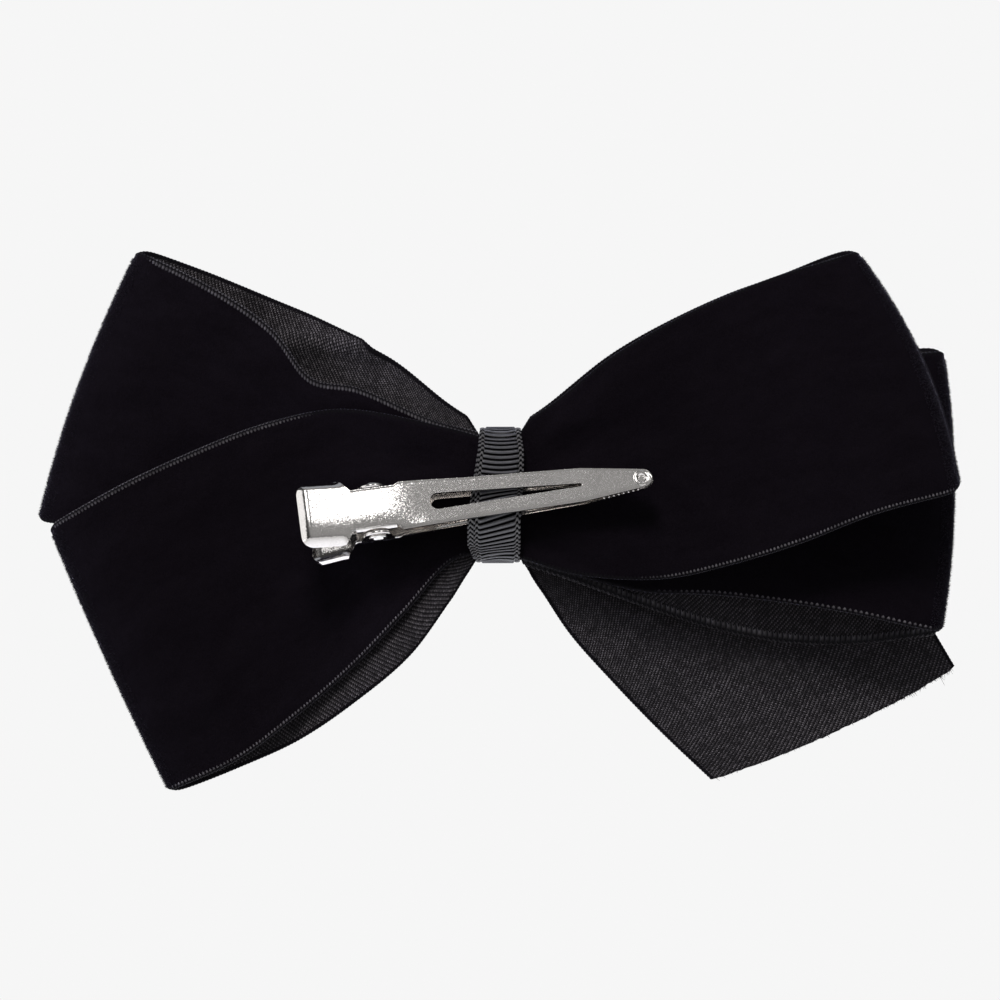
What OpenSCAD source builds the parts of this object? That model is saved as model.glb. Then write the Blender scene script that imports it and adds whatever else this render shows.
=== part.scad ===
// Velvet hair bow: four folded ribbon loops and a tail, bound at the waist to a sprung metal clip.
// +X runs along the bow, +Z is up, and +Y points from the bow towards the wearer's head.
// The origin lies between the clip's jaws, over the middle of the band, where hair is held.

/* [Ribbon] */
// Distance from the waist to the farthest fold
bow_reach = 60.4; // [57:0.2:64]
// Thickness of the velvet ribbon, pile included
ribbon_t = 0.8; // [0.5:0.1:0.9]
// Share of the full depth to which the loops are puffed out
loop_puff = 1; // [0.95:0.05:1.15]
// Share of a loop's length that is taken by the round of its fold
fold_share = 0.2; // [0.1:0.05:0.3]

/* [Band] */
// Width of the grosgrain band
band_w = 6; // [5.4:0.1:6.2]
// Thickness of one turn of the band
band_t = 0.4; // [0.25:0.05:0.4]
// How far the under turn shows beside the upper turn
band_step = 0.8; // [0:0.1:1.2]

/* [Binding] */
// Radius of the binding thread
thread_r = 0.14; // [0.1:0.01:0.14]
// Turns of thread round the waist
thread_turns = 5; // [3:1:6]

/* [Clip] */
// Thickness of the levers' sheet metal
sheet_t = 0.5; // [0.4:0.05:0.5]
// Slope of the clip across the bow
clip_angle = 7.6; // [0:0.1:8]
// Roll of the clip about its own length
clip_roll = 16; // [10:1:16]
// Distance from the grip point to the round of the tip
tip_x = 18.9; // [18:0.1:20]
// Radius of the tip
tip_r = 1.2; // [1:0.1:1.4]
// Distance from the grip point to the end of the upper handle
handle_x = 26; // [25.6:0.1:27]
// Width of the upper handle
handle_w = 8.2; // [7.5:0.1:8.4]
// Width of the lower handle
lower_handle_w = 9.8; // [8.8:0.1:10]
// Width of the upper lever's neck
neck_w = 5.7; // [5.4:0.1:5.8]
// Slope of the upper handle, away from the jaw
upper_slope = 14; // [13:1:16]
// Slope of the lower handle, away from the jaw
lower_slope = 23; // [20:1:23]
// Depth of the turned rim round the handles
rim_depth = 0.7; // [0.5:0.1:0.7]

/* [Hinge] */
// Distance from the grip point to the hinge pin
hinge_x = 16.3; // [16:0.1:16.6]
// Radius of the hinge pin
pin_r = 0.45; // [0.4:0.01:0.5]
// Running clearance between the pin and the upper lever
pin_gap = 0.05; // [0.03:0.01:0.08]
// Radius of the pin's heads
head_r = 1.2; // [0.9:0.1:1.3]
// Thickness of the pin's heads
head_t = 0.5; // [0.3:0.1:0.6]
// Radius of the spring's wire
wire_r = 0.2; // [0.15:0.01:0.22]

/* [Hidden] */
$fn = 48;
base_reach = 60.4;
base_band_w = 6;
grip_h = 0.75;
clip_drop = 0.37;
waist_h = 7.4;
waist_reach = 2.75;
flat_reach = 4.3;
fan_slope = 6;
thread_top = -2.02;
thread_bottom = -8.17;
thread_corner = 0.3;
hinge_y = 1.1;
plate_y = -0.65;
tip_gap = 0.45;
neck_y = 2.3;
jaw_end = 12.6;
neck_start = 13.2;
neck_end = 19.2;
lap = 0.1;
ear_gap = 0.1;
upper_ear_r = 1.6;
lower_ear_r = 1.9;
flap_l = 5.4;
flap_h = 0.9;
handle_flare = 1.2;
corner_r = 1;
rim_w = 0.5;
lower_short = 0.9;
slot_wide_x = 7.9;
slot_wide_r = 1.1;
slot_thin_x = -10.7;
slot_thin_r = 0.22;
tooth_count = 8;
tooth_pitch = 0.65;
tooth_h = 0.38;
tooth_l = 0.3;
tooth_w = 0.4;
tooth_start = 0.6;
tooth_side = 1.2;
tooth_spread = 0.08;
coil_len = 3.8;
leg_x = 23.4;
pad_x = 9.4;
pad_l = 4;
pad_w = 3.2;
pad_t = 1.1;
dimple_r = 0.7;

// Ribbon edges from the waist out to the fold, as distance outward and height.
upper_left = [
    [[0.2, -7.7], [10, -7.4], [20, -7], [30, -6.2], [40, -5], [50, -3.8], [60, -2.4]],
    [[0.2, 7.6], [9, 9.9], [18.3, 13.9], [24.9, 15.4], [30, 21.8], [38, 27.3], [46.9, 32.2]],
    [[0.2, -7.7], [10, -7.2], [20, -6.6], [30, -5.8], [40, -4.8], [50, -3.6], [60, -2.4]],
    [[0.2, 7.8], [6.5, 12], [13.9, 17.9], [22, 22.4], [30, 26], [38, 29.3], [46.9, 32.4]]
];
lower_left = [
    [[0.2, -7.6], [6.2, -8.7], [12.5, -15.5], [19.5, -22.8], [27, -29.3], [34.6, -34.9], [42.8, -38.6]],
    [[0.2, 7], [10, 9.6], [21, 11.2], [30.5, 9.4], [40, 5.7], [49.6, 1.2], [59.1, -4]],
    [[0.2, -7.7], [5.4, -13.2], [11.5, -20.8], [18.8, -27.1], [26.3, -32.2], [34.3, -35.9], [42.8, -38.8]],
    [[0.2, 6.8], [10, 7.6], [20, 8], [30, 6.4], [40, 3.2], [50, -0.6], [59.1, -4.2]]
];
upper_right = [
    [[0.2, -7.4], [10, -10.3], [20.5, -11.1], [30.5, -9.1], [40, -6.1], [50.1, -2.2], [60.4, 0.1]],
    [[0.2, 7.6], [7, 12], [14.3, 17.8], [22, 22.4], [30, 26.2], [38.5, 29.4], [47.1, 32.1]],
    [[0.2, -7], [10, -8.2], [20, -8], [30, -6.2], [40, -4], [50, -1.4], [60.4, 0.3]],
    [[0.2, 7.8], [6.6, 12], [14.2, 18.1], [22, 22.7], [30, 26.4], [38.4, 29.5], [47.1, 32.4]]
];
lower_right = [
    [[0.2, -7.6], [9.5, -8.8], [19, -10.6], [28.5, -12.6], [38, -14.3], [47.8, -15.8], [57.8, -18]],
    [[0.2, 7.2], [10, 9.5], [20, 12], [30, 14.2], [39.5, 16.2], [49, 18], [58.3, 19.3]],
    [[0.2, -7.7], [9, -10.9], [18.3, -14.2], [27.8, -17.2], [37.6, -19.2], [47.6, -19.4], [57.8, -18.6]],
    [[0.2, 7.4], [10, 11], [20, 14], [30, 16], [39.5, 17.4], [49, 18.6], [58.3, 19.5]]
];
tail_edges = [
    [[0.2, -7.8], [4.4, -11], [9.4, -18.2], [15.4, -24.9], [21.6, -31.3], [28, -37.4]],
    [[0.2, 7], [14, 9.5], [29, 8], [43, 0], [53, -10.8], [60.4, -22.6]]
];

// Depth of each layer at equal steps from the waist to the full reach.
near_back = [-2.25, -3.2, -5.5, -5.6, -4.4, -3.7, -3.8];
near_front = [-4.2, -5.6, -8, -10.2, -12, -12.8, -13];
far_back = [-4.5, -6.2, -8.6, -10.9, -12.7, -13.5, -13.7];
far_front = [-6.5, -9.2, -13.2, -17, -20.2, -22.2, -22.6];
tail_back = [-7, -9.9, -13.9, -17.7, -20.9, -22.9, -23.3];

// Route of the band's inner face round the waist and the lower jaw, as height and depth.
band_route = [
    [8.05, -3.2], [7.75, -2.05], [6.6, -1.6], [2.9, -1.1], [0, -0.42], [-3.2, 0.3], [-6.6, -1.4],
    [-7.75, -2.05], [-8.05, -3.2], [-8.05, -7.2], [-7.75, -8.2], [-6.6, -8.55],
    [0, -8.6], [6.6, -8.55], [7.75, -8.2], [8.05, -7.2]
];

// Sides of the band: height, right edge, left edge and share of the under turn's step that shows.
band_sides = [
    [9.4, -2.6, 2.45, 0], [5.9, -3.25, 2.6, 0.2], [2.9, -3.25, 2.95, 0.35],
    [-3.3, -2.8, 3.35, 1], [-6.5, -2.8, 3.35, 1], [-9.4, -2.65, 2.75, 0]
];

function clamped(list, i) = list[max(0, min(len(list) - 1, i))];

function cubic(a, b, c, d, f) =
    (2 * b + (c - a) * f + (2 * a - 5 * b + 4 * c - d) * f ^ 2 + (3 * b - a - 3 * c + d) * f ^ 3) / 2;

// A smooth line through a list's points, at share t of its length.
function spline(list, t) =
    let (s = t * (len(list) - 1))
    let (i = min(floor(s), len(list) - 2))
    cubic(clamped(list, i - 1), list[i], list[i + 1], clamped(list, i + 2), s - i);

// The same through a closed list.
function round_spline(list, t) =
    let (n = len(list))
    let (s = t * n)
    let (i = floor(s))
    cubic(list[(i + n - 1) % n], list[i % n], list[(i + 1) % n], list[(i + 2) % n], s - i);

function mix(a, b, m) = a * (1 - m) + b * m;

// Depth of a layer, which starts at its place in the waist and is puffed out from there.
function depth(layer, share) = layer[0] + (spline(layer, share) - layer[0]) * loop_puff;

// An edge's point, drawn in to the height of the waist as far as the band reaches.
function gathered(p) =
    let (limit = waist_h + fan_slope * max(0, p.x - waist_reach))
    [p.x, max(-limit, min(limit, p.y))];

// A point of a ribbon: t from waist to fold, v from lower to upper edge, m from back to front panel.
function ribbon_point(edges, back, front, bulge, tilt, t, v, m) =
    let (low = gathered(mix(spline(edges[0], t), spline(edges[2], t), m)))
    let (high = gathered(mix(spline(edges[1], t), spline(edges[3], t), m)))
    let (across = high - low)
    let (outward = [across.y, -across.x] / norm(across))
    let (p = low + across * v + outward * bulge * 4 * v * (1 - v) * t ^ 4)
    let (share = max(0, min(1, (p.x - flat_reach) / (base_reach - flat_reach))))
    let (y = mix(depth(back, share), depth(front, share), m) + tilt * p.y * share)
    [p.x * bow_reach / base_reach, y - grip_h, p.y];

// Steps along a loop: out on the back panel, round the fold and back on the front panel.
waist_steps = [0, 0.04, 0.068, 0.082, 0.095, 0.11, 0.14, 0.19];
panel_steps = [for (s = concat(waist_steps, [for (i = [2:8]) i / 8])) s * (1 - fold_share)];
panel_count = len(panel_steps);
loop_steps = concat(
    [for (t = panel_steps) [t, 0]],
    [for (a = [18:18:162]) [1 - fold_share + fold_share * sin(a), (1 - cos(a)) / 2]],
    [for (i = [panel_count - 1:-1:0]) [panel_steps[i], 1]]
);
tail_steps = concat([0, 0.05, 0.1, 0.13, 0.155, 0.2], [for (i = [4:15]) i / 15]);
rows = 7;

function unit(v) = v / norm(v);

function face_normal(grid, i, j) =
    let (along = clamped(grid, i + 1)[j] - clamped(grid, i - 1)[j])
    let (across = clamped(grid[i], j + 1) - clamped(grid[i], j - 1))
    unit(cross(across, along));

function flat(lists) = [for (a = lists) for (b = a) b];

// A sheet of the given thickness behind a grid of points.
module ribbon(grid, thick) {
    n = len(grid);
    m = len(grid[0]);
    far = n * m;
    under = [for (i = [0:n - 1]) [for (j = [0:m - 1]) grid[i][j] - thick * face_normal(grid, i, j)]];
    sides = [
        for (i = [0:n - 2]) for (j = [0:m - 2])
            let (a = i * m + j)
            each [
                [a, a + m, a + m + 1],
                [a, a + m + 1, a + 1],
                [far + a, far + a + m + 1, far + a + m],
                [far + a, far + a + 1, far + a + m + 1]
            ]
    ];
    rim = concat(
        [for (i = [0:n - 2]) i * m],
        [for (j = [0:m - 2]) (n - 1) * m + j],
        [for (i = [n - 1:-1:1]) i * m + m - 1],
        [for (j = [m - 1:-1:1]) j]
    );
    edge = [
        for (k = [0:len(rim) - 1])
            let (a = rim[k])
            let (b = rim[(k + 1) % len(rim)])
            each [
                [a, far + a, far + b],
                [a, far + b, b]
            ]
    ];
    polyhedron(concat(flat(grid), flat(under)), concat(sides, edge), convexity = 6);
}

module ribbon_loop(edges, back, front, bulge, tilt)
    ribbon([
        for (s = loop_steps)
            [for (j = [0:rows]) ribbon_point(edges, back, front, bulge, tilt, s[0], j / rows, s[1])]
    ], ribbon_t);

module velvet_loop_upper_left() color("#141216") ribbon_loop(upper_left, far_back, far_front, 1.2, 0.05);

module velvet_loop_lower_left() color("#19171c") ribbon_loop(lower_left, near_back, near_front, 0.4, 0.05);

module velvet_loop_upper_right() color("#19171c") mirror([1, 0, 0])
    ribbon_loop(upper_right, near_back, near_front, 3, -0.05);

module velvet_loop_lower_right() color("#141216") mirror([1, 0, 0])
    ribbon_loop(lower_right, far_back, far_front, 1.6, -0.05);

module velvet_tail() color("#2a282c") mirror([1, 0, 0]) ribbon([
    for (t = tail_steps)
        [for (j = [0:rows]) ribbon_point(concat(tail_edges, tail_edges), tail_back, tail_back, 0, -0.05,
            t, j / rows, 0)]
], ribbon_t);

// A turn of thread: straight runs joined by quarter rounds at the corners of the waist.
module thread_turn() {
    half_h = waist_h + 0.03 + thread_r;
    run_h = half_h - thread_corner;
    mid = (thread_top + thread_bottom) / 2;
    run_d = (thread_top - thread_bottom) / 2 - thread_corner;
    translate([0, mid, 0]) {
        for (side = [-1, 1]) translate([0, 0, side * half_h]) rotate([90, 0, 0])
            cylinder(h = 2 * run_d, r = thread_r, center = true);
        for (side = [-1, 1]) translate([0, side * (run_d + thread_corner), 0])
            cylinder(h = 2 * run_h, r = thread_r, center = true);
        for (y = [0, 1]) for (z = [0, 1]) mirror([0, y, 0]) mirror([0, 0, z])
            translate([0, run_d, run_h]) rotate([90, 0, 90]) rotate_extrude(angle = 90)
                translate([thread_corner, 0]) circle(thread_r, $fn = 24);
    }
}

module binding_thread() color("#0e0d10") translate([0, -grip_h, 0])
    for (i = [0:thread_turns - 1])
        translate([(i - (thread_turns - 1) / 2) * 3 * thread_r, 0, 0]) thread_turn();

// Closed outline of the band at a distance outside its inner face.
function band_outline(d) = [
    for (i = [0:59])
        let (p = round_spline(band_route, i / 60))
        let (q = round_spline(band_route, (i + 0.5) / 60) - round_spline(band_route, (i + 59.5) / 60))
        p + d * [q.y, -q.x] / norm(q)
];

// A turn of the band between two distances outside the route, its left edge moved out by a step.
module band_turn(low, high, step) intersection() {
    rotate([0, 90, 0]) linear_extrude(2 * base_band_w, center = true) difference() {
        polygon([for (p = band_outline(high)) [-p.x, p.y]]);
        polygon([for (p = band_outline(low)) [-p.x, p.y]]);
    }
    rotate([90, 0, 0]) linear_extrude(4 * waist_h, center = true) polygon(concat(
        [for (s = band_sides) [s[1] * band_w / base_band_w, s[0]]],
        [for (i = [len(band_sides) - 1:-1:0])
            let (s = band_sides[i])
            [s[2] * band_w / base_band_w + step * s[3], s[0]]]
    ));
}

module grosgrain_band() color("#26242a") translate([0, -grip_h, 0]) {
    band_turn(0, band_t, band_step);
    band_turn(band_t, 2 * band_t, 0);
}

// Places a shape of the clip's own frame, which slopes and rolls, a little below the middle of the band.
module along_clip() translate([0, -grip_h, -clip_drop])
    rotate([0, clip_angle, 0]) rotate([clip_roll, 0, 0]) children();

module glue_pad() color("#d8d4c8") along_clip()
    translate([pad_x, plate_y - sheet_t - pad_t, -pad_w / 2]) cube([pad_l, pad_t, pad_w]);

// A shape drawn in plan and extruded through the clip's height.
module in_plan(h) rotate([90, 0, 0]) linear_extrude(h, center = true) children();

// Half the width of both jaws at a distance along the clip, negative towards the tip.
jaw_half = [[-17.5, 1.4], [-11, 2.25], [-2.8, 2.55], [4, 2.75], [9, 3.05], [jaw_end, 3.2]];

module jaw_plan() {
    polygon(concat(jaw_half, [for (i = [len(jaw_half) - 1:-1:0]) [jaw_half[i].x, -jaw_half[i].y]]));
    polygon([
        [-tip_x - 0.2, tip_r], jaw_half[0],
        [jaw_half[0].x, -jaw_half[0].y], [-tip_x - 0.2, -tip_r]
    ]);
    translate([-tip_x, 0]) circle(tip_r);
}

module jaw_slot() {
    translate([slot_wide_x, 0]) circle(slot_wide_r);
    translate([slot_thin_x, 0]) circle(slot_thin_r);
    polygon([
        [slot_wide_x, slot_wide_r], [slot_thin_x, slot_thin_r],
        [slot_thin_x, -slot_thin_r], [slot_wide_x, -slot_wide_r]
    ]);
}

// A handle in plan: rounded at the free end and cut back to the neck at the other.
module handle_plan(end, width, neck_width, inset) {
    start = neck_end + handle_flare;
    half = width / 2 - inset;
    stop = end - inset;
    translate([start, -half]) square([stop - start - corner_r, 2 * half]);
    translate([start, -half + corner_r]) square([stop - start, 2 * (half - corner_r)]);
    for (side = [-1, 1]) translate([stop - corner_r, side * (half - corner_r)]) circle(corner_r);
    if (inset == 0)
        polygon([[neck_end, neck_width / 2], [start, half], [start, -half], [neck_end, -neck_width / 2]]);
}

module lever_plan(end, width, neck_width) {
    jaw_plan();
    translate([jaw_end - lap, -neck_width / 2]) square([neck_end - jaw_end + 2 * lap, neck_width]);
    handle_plan(end, width, neck_width, 0);
}

module rim_plan(end, width) intersection() {
    difference() {
        handle_plan(end, width, neck_w, 0);
        translate([-rim_w, 0]) handle_plan(end, width, neck_w, rim_w);
        translate([neck_end - 1, -width / 2 + rim_w]) square([handle_flare + 2, width - 2 * rim_w]);
    }
    translate([neck_end + handle_flare, -width]) square(2 * width);
}

// Corner of a bent strip: where its two neighbouring edges, moved sideways by d, meet.
function moved(line, i, d) =
    let (a = unit(clamped(line, i) - clamped(line, i - 1 < 0 ? 1 : i - 1)) * (i == 0 ? -1 : 1))
    let (b = i == len(line) - 1 ? a : unit(line[i + 1] - line[i]))
    let (n = unit([-a.y - b.y, a.x + b.x]))
    line[i] + n * d / (n * [-a.y, a.x]);

// A bent strip seen from the side, from one face of the line to the other.
module strip_side(line, from, to)
    polygon(concat(
        [for (i = [0:len(line) - 1]) moved(line, i, from)],
        [for (i = [len(line) - 1:-1:0]) moved(line, i, to)]
    ));

// Under face of the upper lever and upper face of the lower lever, seen from the side.
upper_line = [
    [-tip_x - 2, plate_y + tip_gap], [neck_start, neck_y], [neck_end, neck_y],
    [handle_x + 1, neck_y + (handle_x + 1 - neck_end) * tan(upper_slope)]
];
lower_line = [
    [-tip_x - 2, plate_y], [neck_end, plate_y],
    [handle_x + 1, plate_y - (handle_x + 1 - neck_end) * tan(lower_slope)]
];

module plate(line, from, to, thick) intersection() {
    in_plan(40) children();
    linear_extrude(20, center = true) strip_side(line, from, to);
}

module ear(r, reach, z) translate([hinge_x, hinge_y, z]) {
    cylinder(h = sheet_t, r = r, center = true);
    translate([-r, min(0, reach), -sheet_t / 2]) cube([2 * r, abs(reach), sheet_t]);
}

// The fold from which an upper ear hangs, longer than the ear is wide.
module flap(z) translate([hinge_x - flap_l / 2, neck_y + lap - flap_h, z - sheet_t / 2])
    cube([flap_l, flap_h, sheet_t]);

module hinge_bore(r) translate([hinge_x, hinge_y, 0]) cylinder(h = 20, r = r, center = true);

module clip_upper_lever() color("#c9c7c4") along_clip() difference() {
    union() {
        plate(upper_line, 0, sheet_t) difference() {
            lever_plan(handle_x, handle_w, neck_w);
            jaw_slot();
        }
        plate(upper_line, -rim_depth, lap) rim_plan(handle_x, handle_w);
        for (z = [-1, 1] * (neck_w - sheet_t) / 2) {
            ear(upper_ear_r, neck_y + lap - hinge_y, z);
            flap(z);
        }
    }
    hinge_bore(pin_r + pin_gap);
    translate([-tip_x, plate_y + tip_gap + sheet_t, 0]) rotate([-90, 0, 0]) cylinder(h = 2, r = dimple_r);
}

lower_neck = neck_w + 2 * ear_gap + 2 * sheet_t;

module clip_lower_lever() color("#bfbdba") along_clip() difference() {
    union() {
        plate(lower_line, -sheet_t, 0) difference() {
            lever_plan(handle_x - lower_short, lower_handle_w, lower_neck);
            jaw_slot();
        }
        plate(lower_line, -lap, rim_depth) rim_plan(handle_x - lower_short, lower_handle_w);
        for (side = [-1, 1]) {
            ear(lower_ear_r, plate_y - lap - hinge_y, side * (lower_neck - sheet_t) / 2);
            for (i = [0:tooth_count - 1])
                translate([
                    -tip_x + tooth_start + i * tooth_pitch, plate_y - lap,
                    side * (tooth_side + i * tooth_spread) - tooth_w / 2
                ]) cube([tooth_l, tooth_h + lap, tooth_w]);
        }
    }
    hinge_bore(pin_r + 0.01);
}

module hinge_pin() color("#d4d2ce") along_clip() translate([hinge_x, hinge_y, 0]) {
    cylinder(h = lower_neck + 0.02, r = pin_r, center = true);
    for (side = [-1, 1])
        translate([0, 0, side * (lower_neck / 2 + 0.01 + head_t / 2)])
            cylinder(h = head_t, r = head_r, center = true);
}

// A straight wire between two places in the clip's side view.
module wire(from, to, z) {
    run = to - from;
    translate([from.x, from.y, z]) rotate([0, 0, atan2(run.y, run.x)]) rotate([0, 90, 0])
        cylinder(h = norm(run), r = wire_r, $fn = 24);
}

module torsion_spring() color("#a9a7a4") along_clip() {
    coil_r = pin_r + 0.1 + 2 * wire_r;
    leg_y = coil_r - wire_r;
    leg_z = coil_len / 2 - wire_r;
    reach = leg_x - neck_end;
    difference() {
        translate([hinge_x, hinge_y, 0]) cylinder(h = coil_len, r = coil_r, center = true);
        hinge_bore(pin_r + 0.1);
    }
    wire([hinge_x, hinge_y + leg_y], [neck_end, hinge_y + leg_y], leg_z);
    wire([neck_end - 0.1, hinge_y + leg_y - 0.05],
        [leg_x, hinge_y + leg_y + reach * tan(upper_slope)], leg_z);
    wire([hinge_x, hinge_y - leg_y], [neck_end, plate_y + 0.3 + wire_r], -leg_z);
    wire([neck_end - 0.1, plate_y + 0.33 + wire_r],
        [leg_x, plate_y - reach * tan(lower_slope) + 0.15 + wire_r], -leg_z);
}

velvet_loop_upper_left();
velvet_loop_lower_left();
velvet_loop_upper_right();
velvet_loop_lower_right();
velvet_tail();
binding_thread();
grosgrain_band();
glue_pad();
clip_lower_lever();
clip_upper_lever();
hinge_pin();
torsion_spring();
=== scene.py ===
"""Looks of a black velvet hair bow with a sprung metal clip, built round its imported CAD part.

Sizes are in millimetres and become metres when a mesh is made. +X runs along the bow, +Z is up
and +Y points from the bow towards the head, so the clip and the camera are on the +Y side.
"""

import math

import bmesh
import bpy
import numpy as np
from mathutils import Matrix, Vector

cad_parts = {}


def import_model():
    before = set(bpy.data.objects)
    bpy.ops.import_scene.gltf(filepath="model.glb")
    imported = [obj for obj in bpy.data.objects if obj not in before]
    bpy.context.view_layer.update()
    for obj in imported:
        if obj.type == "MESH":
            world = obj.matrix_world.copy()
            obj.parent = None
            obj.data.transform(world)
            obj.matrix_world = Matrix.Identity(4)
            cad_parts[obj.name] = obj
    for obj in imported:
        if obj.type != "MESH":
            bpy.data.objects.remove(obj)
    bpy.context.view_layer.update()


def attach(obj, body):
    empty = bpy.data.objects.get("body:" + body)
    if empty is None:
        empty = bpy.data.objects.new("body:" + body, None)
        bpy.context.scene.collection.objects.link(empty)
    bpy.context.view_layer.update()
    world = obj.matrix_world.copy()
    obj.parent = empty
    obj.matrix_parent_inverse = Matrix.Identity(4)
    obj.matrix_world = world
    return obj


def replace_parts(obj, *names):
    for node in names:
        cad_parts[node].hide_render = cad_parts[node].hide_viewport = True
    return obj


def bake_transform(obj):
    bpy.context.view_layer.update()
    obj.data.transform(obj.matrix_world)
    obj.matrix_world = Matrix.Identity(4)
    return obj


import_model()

MM = 0.001

# ---------------------------------------------------------------- the design, as the CAD part has it
BASE_REACH = 60.4
GRIP_H = 0.75
WAIST_H = 7.4
WAIST_REACH = 2.3
FLAT_REACH = 4.3
FAN_SLOPE = 1.6
FOLD_SHARE = 0.2
RIBBON_T = 0.8
RIBBON_W = 38

# Ribbon edges from the waist out to the fold, as distance outward and height:
# back panel's lower and upper edge, then the front panel's.
UPPER_LEFT = [
    [[0.2, -7.7], [10, -7.4], [20, -7], [30, -6.2], [40, -5.2], [50, -4.4], [60.2, -3.8]],
    [[0.2, 7.6], [9, 9.9], [18.3, 13.9], [24.9, 15.4], [30, 21.8], [38, 27.3], [47.6, 31.8]],
    [[0.2, -7.7], [10, -7.2], [20, -6.6], [30, -5.8], [40, -5], [50, -4.3], [60.2, -3.6]],
    [[0.2, 7.8], [6.5, 12], [13.9, 17.9], [22, 22.4], [30, 26], [38, 29.3], [46.1, 32.6]],
]
LOWER_LEFT = [
    [[0.2, -7.6], [6.2, -8.7], [12.5, -15.5], [19.5, -22.8], [27, -29.3], [34.6, -34.9], [43.3, -38.6]],
    [[0.2, 7], [10, 9.6], [21, 11.2], [30.5, 9.4], [40, 5.7], [49.6, 1.2], [58.5, -3.7]],
    [[0.2, -7.7], [5.4, -12.6], [11.5, -20.8], [18.8, -27.1], [26.3, -32.2], [34.3, -35.9], [41.9, -39.1]],
    [[0.2, 6.8], [10, 7.6], [20, 8], [30, 6.4], [40, 3.2], [50, -0.6], [58.5, -3.9]],
]
UPPER_RIGHT = [
    [[0.2, -7.4], [10, -10.3], [20.5, -11.1], [30.5, -9.1], [40, -6.1], [50.1, -2.2], [60.4, 0.1]],
    [[0.2, 7.6], [7, 12], [14.3, 17.8], [22, 22.4], [30, 26.2], [38.5, 29.4], [47.5, 31.9]],
    [[0.2, -7], [10, -8.2], [20, -8], [30, -6.2], [40, -4], [50, -1.2], [60.7, 1.5]],
    [[0.2, 7.8], [6.6, 12], [14.2, 18.1], [22, 22.7], [30, 26.4], [38.4, 29.5], [45.8, 32.7]],
]
LOWER_RIGHT = [
    [[0.2, -7.6], [9.5, -10.3], [19, -12.7], [28.5, -13.1], [38, -14.2], [47.8, -15.8], [57.4, -17.8]],
    [[0.2, 7.2], [10, 9.5], [20, 12], [30, 14.2], [39.5, 16.2], [49, 18], [58.6, 18.9]],
    [[0.2, -7.7], [9, -10.9], [18.3, -14.2], [27.8, -17.2], [37.6, -19.2], [47.6, -19.4], [57.8, -18.6]],
    [[0.2, 7.4], [10, 11], [20, 14], [30, 16], [39.5, 17.4], [49, 18.6], [57, 19.8]],
]
TAIL = [
    [[0.2, -7.8], [4.4, -11], [9.4, -18.2], [15.4, -24.9], [21.6, -31.3], [28, -37.4]],
    [[0.2, 7], [14, 9.5], [29, 8], [43, 0], [53, -10.8], [60.4, -22.6]],
]

# Depth of each layer at equal steps from the waist to the full reach.
NEAR_BACK = [-2.25, -3.2, -5.5, -5.6, -4.4, -3.7, -3.8]
NEAR_FRONT = [-4.2, -5.6, -8, -10.2, -12, -12.8, -13]
FAR_BACK = [-4.5, -6.2, -8.6, -10.9, -12.7, -13.5, -13.7]
FAR_FRONT = [-6.5, -9.2, -13.2, -17, -20.2, -22.2, -22.6]
TAIL_BACK = [-7, -10.4, -15, -19.1, -22.3, -24.2, -24.6]

# The band's inner face round the waist, as height and depth, and its sides:
# height, right edge, left edge and share of the under turn's step that shows.
BAND_ROUTE = [
    [8.05, -3.2], [7.75, -2.05], [6.6, -1.6], [2.9, -1.1], [0, -0.42], [-3.2, 0.3], [-6.6, -1.4],
    [-7.75, -2.05], [-8.05, -3.2], [-8.05, -7.2], [-7.75, -8.2], [-6.6, -8.55],
    [0, -8.6], [6.6, -8.55], [7.75, -8.2], [8.05, -7.2],
]
BAND_SIDES = [
    [9.4, -2.6, 2.45, 0], [5.9, -3.25, 2.6, 0.2], [2.9, -3.25, 2.95, 0.35],
    [-3.3, -2.8, 3.35, 1], [-6.5, -2.8, 3.35, 1], [-9.4, -2.65, 2.75, 0],
]
BAND_T = 0.4
BAND_STEP = 0.8

CLIP_ANGLE = math.radians(7.6)
CLIP_DROP = 0.37
CLIP_ROLL = math.radians(16)
SHEET_T = 0.5
PLATE_Y = -0.65
TIP_GAP = 0.45
TIP_X = -18.9
TIP_R = 1.2
NECK_Y = 2.3
NECK_START = 13.2
NECK_END = 19.2
NECK_HALF = 2.85
LOWER_NECK_HALF = 3.45
HANDLE_FLARE = 1.2
HANDLE_HALF = 4.1
LOWER_HANDLE_HALF = 5.2
UPPER_END = 26
LOWER_END = 25.1
UPPER_SLOPE = math.tan(math.radians(14))
LOWER_SLOPE = math.tan(math.radians(23))
JAW_HALF = [[-17.5, 1.4], [-11, 2.25], [-2.8, 2.55], [4, 2.75], [9, 3.05], [12.6, 3.2]]
SLOT = [[-10.7, 0.22], [7.9, 1.1]]
HINGE_X = 16.3
HINGE_Y = 1.1
PIN_R = 0.45
COIL_LEN = 3.8
PIN_HEAD_R = 1.2
FLAP_HALF = 2.7
FLAP_H = 0.9
FOLD_IN = 0.42
WIRE_R = 0.2


# ------------------------------------------------------------------------------- shape helpers
def cubic(a, b, c, d, f):
    """A smooth line between b and c, at shares f of the way, for neighbours a and d."""
    return (2 * b + (c - a) * f + (2 * a - 5 * b + 4 * c - d) * f**2 + (3 * b - a - 3 * c + d) * f**3) / 2


def spline(points, t):
    """A smooth line through points, at shares t of its length."""
    points = np.asarray(points, float)
    s = np.asarray(t, float) * (len(points) - 1)
    i = np.clip(np.floor(s).astype(int), 0, len(points) - 2)
    f = s - i
    if points.ndim > 1:
        f = f[..., None]
    return cubic(*(points[np.clip(i + k, 0, len(points) - 1)] for k in (-1, 0, 1, 2)), f)


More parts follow.
